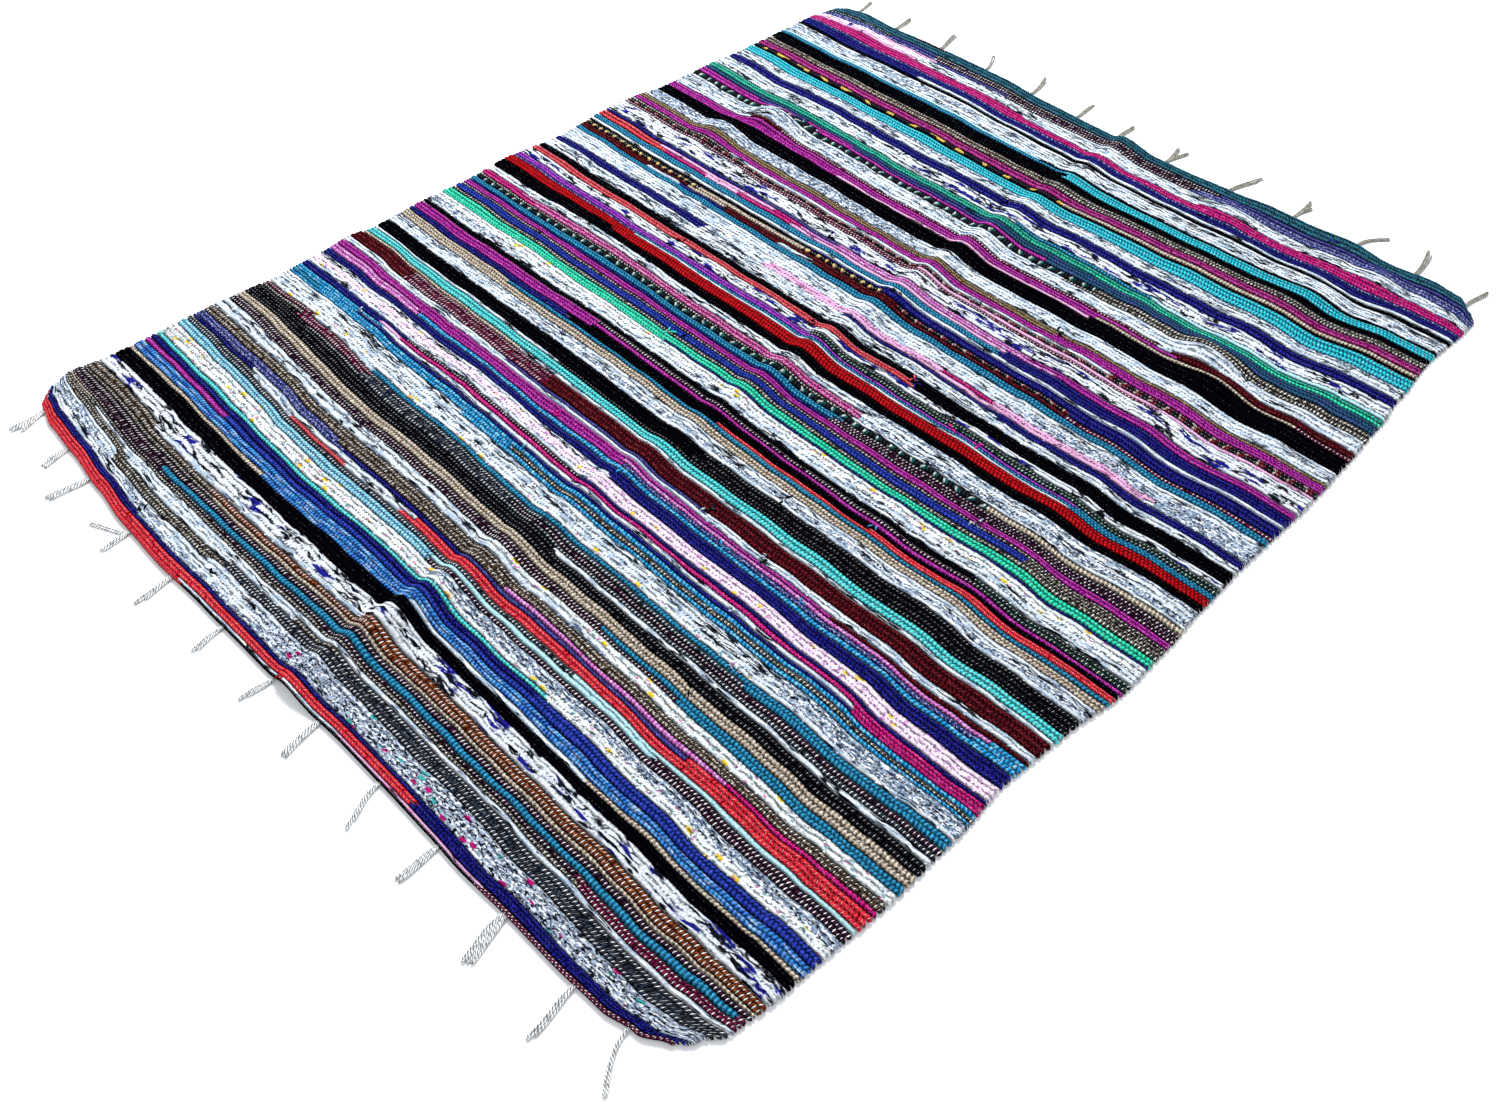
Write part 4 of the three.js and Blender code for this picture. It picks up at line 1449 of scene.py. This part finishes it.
FORKS = {"tassel_near_01": (16, 48, 7, 5), "tassel_near_04": (-56, 32, 7, -4),
         "tassel_far_08": (13, 57, 8, 1), "tassel_far_10": (10, 46, 7, -3)}
print("tassels:", len(NEAR_TASSELS), "near and", len(FAR_TASSELS), "far")

# %% [markdown]
# ## A twisted cord
# A cord of two plies could be two tubes wound round each other. One tube whose section has two
# lobes, and turns as it goes, looks the same at this size and has half the faces, with no skin
# hidden inside. Its ends are tapered and capped.

# %% A twisted cord
PLY, PITCH, SIDES = 1.6, 10.0, 8  # outer radius of a cord, length of one full twist, its facets
RING_STEP = 2.0  # from one ring of points to the next, in millimetres
WAIST, LOBE = 0.66, 0.34  # the radius between the lobes, and what a lobe adds, as shares of PLY
TIP, WIDENING = 0.45, 0.2  # the width at an end of a cord, and what each ring adds up to the full


def cord(path, parts):
    """A twisted cord along a path in millimetres, added to the parts of a tassel."""
    steps = np.linalg.norm(np.diff(path, axis=0), axis=1)
    run = np.concatenate([[0], np.cumsum(steps)])
    n = max(6, int(run[-1] / RING_STEP))
    even = np.linspace(0, run[-1], n)
    path = np.stack([np.interp(even, run, path[:, i]) for i in range(3)], 1)
    ahead = np.gradient(path, axis=0)
    ahead /= np.linalg.norm(ahead, axis=1)[:, None]
    side = np.cross(ahead, (0, 0, 1.0))
    side /= np.linalg.norm(side, axis=1)[:, None]
    above = np.cross(side, ahead)

    facet = np.arange(SIDES) * 2 * np.pi / SIDES
    lobe = np.cos(facet) ** 2
    from_end = np.minimum(np.arange(n), np.arange(n)[::-1])
    taper = np.minimum(1, TIP + WIDENING * from_end)
    spin = facet[None] + (even * 2 * np.pi / PITCH)[:, None]
    reach = (PLY * (WAIST + LOBE * lobe))[None] * taper[:, None]
    ring = (path[:, None] + reach[..., None] * (np.cos(spin)[..., None] * side[:, None]
                                                + np.sin(spin)[..., None] * above[:, None]))

    a = np.arange(n - 1)[:, None] * SIDES + np.arange(SIDES)[None]
    b = np.arange(n - 1)[:, None] * SIDES + (np.arange(SIDES)[None] + 1) % SIDES
    quads = np.stack([a, b, b + SIDES, a + SIDES], 2).reshape(-1, 4)
    last = (n - 1) * SIDES
    caps = [(0, k + 1, k, k) for k in range(1, SIDES - 1)]
    caps += [(last, last + k, last + k + 1, last + k + 1) for k in range(1, SIDES - 1)]
    count = sum(len(points) for points, *_ in parts)
    run_map = np.stack(np.broadcast_arrays(even[:, None], facet[None]), 2).reshape(-1, 2)
    parts.append((ring.reshape(-1, 3), np.concatenate([quads, caps]) + count,
                  run_map * (MM, 0.4 * MM), np.tile(lobe, n)))


straight = []
cord(np.array([(0, 0, 2), (0, 50, 2)], float), straight)
print("a straight cord of 50 mm has", len(straight[0][1]), "faces")

# %% [markdown]
# ## A strand of cords
# Most cords are hairpins: a warp end runs out to the tip, turns and comes back beside itself, and
# now and then a single end is left over. The middle of a strand is a curve that four corners
# draw, the root, a straight start, the bow and the tip, and its cords run side by side along it,
# close together at the root where they are tied and looser further out.

# %% A strand
CORD_ROOM, EDGE_ROOM = 2.9, 2.6  # width for one cord in a strand, and what the outer two keep free
LEG_POINTS, ROOT_OVERLAP = 30, 0.04  # points along a leg; the share that starts inside the cloth
KNOT_HEIGHT, KNOT_END = 1.6, 0.16  # how far the tie lifts a cord, and where it ends
HAIRPIN_ENDS = 0.4  # how much of the half turn at the tip is left to its two legs, in radians


def leg(root, outward, corners, spot, far_reach, wander, height):
    """One run of cord from the root to the tip, at its own spot across the strand."""
    t = np.linspace(-ROOT_OVERLAP, far_reach, LEG_POINTS)[:, None]
    line = ((1 - t) ** 3 * corners[0] + 3 * (1 - t) ** 2 * t * corners[1]
            + 3 * (1 - t) * t * t * corners[2] + t ** 3 * corners[3])
    way = np.gradient(line, axis=0)
    way /= np.linalg.norm(way, axis=1)[:, None]
    t = t[:, 0]
    spread = spot * np.interp(t, (0, 0.25, 0.8, 1), (0.45, 0.85, 1, 0.9))
    spread = spread + wander * np.sin(5 * t + chance.uniform(0, FULL_TURN)) * t
    flat = line + spread[:, None] * np.stack([way[:, 1], -way[:, 0]], 1)
    knot = KNOT_HEIGHT * np.clip(1 - t / KNOT_END, 0, 1)
    tall = PLY + 0.05 + knot + 0.5 * (1 + np.sin(7 * t + chance.uniform(0, FULL_TURN))) * height
    return np.stack([root[0] + flat[:, 0], root[1] + outward * flat[:, 1], tall], 1)


def strand(root, outward, lean, reach, width, bow, parts):
    """The cords of one strand: hairpins side by side, and now and then a single end."""
    corners = np.array([(0, 0), (0, 0.3 * reach), (0.5 * lean + bow, 0.6 * reach), (lean, reach)])
    legs = max(2, round(width / CORD_ROOM))
    spots = (np.arange(legs) - (legs - 1) / 2) * (width - EDGE_ROOM) / (legs - 1)
    height = min(1.0, legs / 4)  # only a thick bundle piles its cords up
    for k in range(0, legs - 1, 2):
        far_reach = chance.uniform(0.9, 0.97)
        there = leg(root, outward, corners, spots[k], far_reach, 0.5, height)
        back = leg(root, outward, corners, spots[k + 1], far_reach, 0.5, height)
        half_gap, way = (back[-1] - there[-1]) / 2, there[-1] - there[-2]
        way *= np.linalg.norm(half_gap) / np.linalg.norm(way)
        bend = [(there[-1] + back[-1]) / 2 - half_gap * math.cos(q) + way * math.sin(q)
                for q in np.linspace(HAIRPIN_ENDS, math.pi - HAIRPIN_ENDS, 6)]
        cord(np.concatenate([there, bend, back[::-1]]), parts)
    if legs % 2:
        cord(leg(root, outward, corners, spots[-1], chance.uniform(0.75, 0.98), 0.8, height), parts)


print("a strand 13 mm wide has", round(13 / CORD_ROOM), "runs of cord side by side")

# %% [markdown]
# ## The tassels are tied on
# Each tassel starts at the cloth's end, where its solid starts, so its root is read from the box
# of that solid. The near tassels are bright white, the far ones greyer and softer, and the
# valleys between the plies get painted shade, which is what shows the twist from a distance.

# %% Tassels
# for each end: the cotton's colour, and the painted shade in the valleys between its plies
COTTONS = {"near": ((240, 242, 242), (22, 24, 30)), "far": ((168, 164, 154), (34, 32, 30))}

twisted = {}
for end, (colour, ply_shade) in COTTONS.items():
    cotton = Cloth("twisted_cotton_" + end, colour)
    mottle(cotton, shaded(colour), 0.35, 9, 2)
    # painted shade in the valleys between the plies
    paint(cotton, between(cotton, value_of(cotton, "bead"), 0.5, 0.12), ply_shade)
    twisted[end] = cotton.done()

tassels = []
for end, table, outward in (("near", NEAR_TASSELS, -1), ("far", FAR_TASSELS, 1)):
    for i, (place, *shape) in enumerate(table):
        node = f"tassel_{end}_{i + 1:02d}"
        low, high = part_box(node)
        root = (place - WIDTH / 2, (high.y if end == "near" else low.y) / MM)
        parts = []
        strand(root, outward, *shape, parts)
        if node in FORKS:
            strand(root, outward, *FORKS[node], parts)
        points, quads, run_map, lobes = (np.concatenate(part) for part in zip(*parts))
        made, keep = make_mesh(f"cords_{end}_{i + 1:02d}", points * MM, quads)
        add_map(made.data, "rag_run", run_map[quads][keep])
        add_values(made.data, "bead", lobes)
        made.data.materials.append(twisted[end])
        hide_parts(node)
        tassels.append(made)
print("tassels:", len(tassels), "with", sum(len(t.data.polygons) for t in tassels), "faces")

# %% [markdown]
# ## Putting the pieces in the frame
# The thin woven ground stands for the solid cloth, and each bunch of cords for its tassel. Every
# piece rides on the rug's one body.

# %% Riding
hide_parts("rug")
for piece in [ground] + pieces + tassels:
    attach(piece, "root")
print("pieces riding on the rug's body:", 1 + len(pieces) + len(tassels))

# %% [markdown]
# ## The camera
# It stands where someone would who looks down at the rug from beside its near right corner, eyes
# a metre and a half above the floor. Its three directions are given rather than its angles, so
# that they can be read: to the right, up and forward in the view.

# %% Camera
LENS, SENSOR = 35.64, 36  # millimetres
EYE = (1.2526, -1.2657, 1.5028)
RIGHT, UP = Vector((0.69596, 0.71798, -0.00594)), Vector((-0.52836, 0.51773, 0.67294))
FORWARD = Vector((-0.48629, 0.46525, -0.73967))

camera_data = bpy.data.cameras.new("studio_camera")
camera_data.sensor_width, camera_data.sensor_fit = SENSOR, "HORIZONTAL"
camera_data.lens = LENS
camera_data.clip_start = 0.05
camera = bpy.data.objects.new("studio_camera", camera_data)
aim = Matrix((RIGHT, UP, -FORWARD)).transposed()
camera.matrix_world = Matrix.Translation(EYE) @ aim.to_4x4()
bpy.context.scene.collection.objects.link(camera)
bpy.context.scene.camera = camera
print("camera height:", round(camera.matrix_world.translation.z, 2), "m")

# %% [markdown]
# ## The floor
# A wide sheet of white paper, as in a studio, so that the rug stands out against it and its
# shadows fall somewhere. It belongs to the stage and not to the rug.

# %% Floor
HALF_FLOOR = 12  # half the width of the paper, in metres
floor_corners = [(x * HALF_FLOOR, y * HALF_FLOOR, 0) for x, y in ((-1, -1), (1, -1), (1, 1), (-1, 1))]
floor_mesh = bpy.data.meshes.new("floor")
floor_mesh.from_pydata(floor_corners, [], [(0, 1, 2, 3)])
floor = bpy.data.objects.new("floor", floor_mesh)
bpy.context.scene.collection.objects.link(floor)
paper = bpy.data.materials.new("floor_paper")
paper.use_nodes = True
paper_shader = paper.node_tree.nodes["Principled BSDF"]
paper_shader.inputs["Base Color"].default_value = (0.86, 0.86, 0.87, 1)
paper_shader.inputs["Roughness"].default_value = 0.9
floor_mesh.materials.append(paper)
print("floor:", 2 * HALF_FLOOR, "m wide")

# %% [markdown]
# ## Light
# A bright, faintly cool sky lights the rug from all round, and one broad lamp high up at the far
# left gives the beads a lit side and a shaded one. With the lamp low and hard the weave would
# look like gravel, and with the sky alone it would look printed on.

# %% Light
LAMP_PLACE, LAMP_WIDTH, LAMP_WATTS = (-2.2, 1.6, 3.2), 1.6, 260

world = bpy.data.worlds.new("studio")
bpy.context.scene.world = world
world.use_nodes = True
sky = world.node_tree.nodes["Background"]
sky.inputs["Color"].default_value = (0.94, 0.97, 1.0, 1)
sky.inputs["Strength"].default_value = 0.9

lamp_data = bpy.data.lights.new("key_light", "AREA")
lamp_data.shape, lamp_data.size, lamp_data.energy = "DISK", LAMP_WIDTH, LAMP_WATTS
lamp = bpy.data.objects.new("key_light", lamp_data)
lamp.location = LAMP_PLACE
lamp.rotation_euler = (-Vector(LAMP_PLACE)).to_track_quat("-Z", "Y").to_euler()
bpy.context.scene.collection.objects.link(lamp)
bpy.context.scene.view_settings.view_transform = "Standard"
bpy.context.scene.view_settings.look = "None"
print("lamp:", LAMP_WATTS, "W at", LAMP_PLACE)
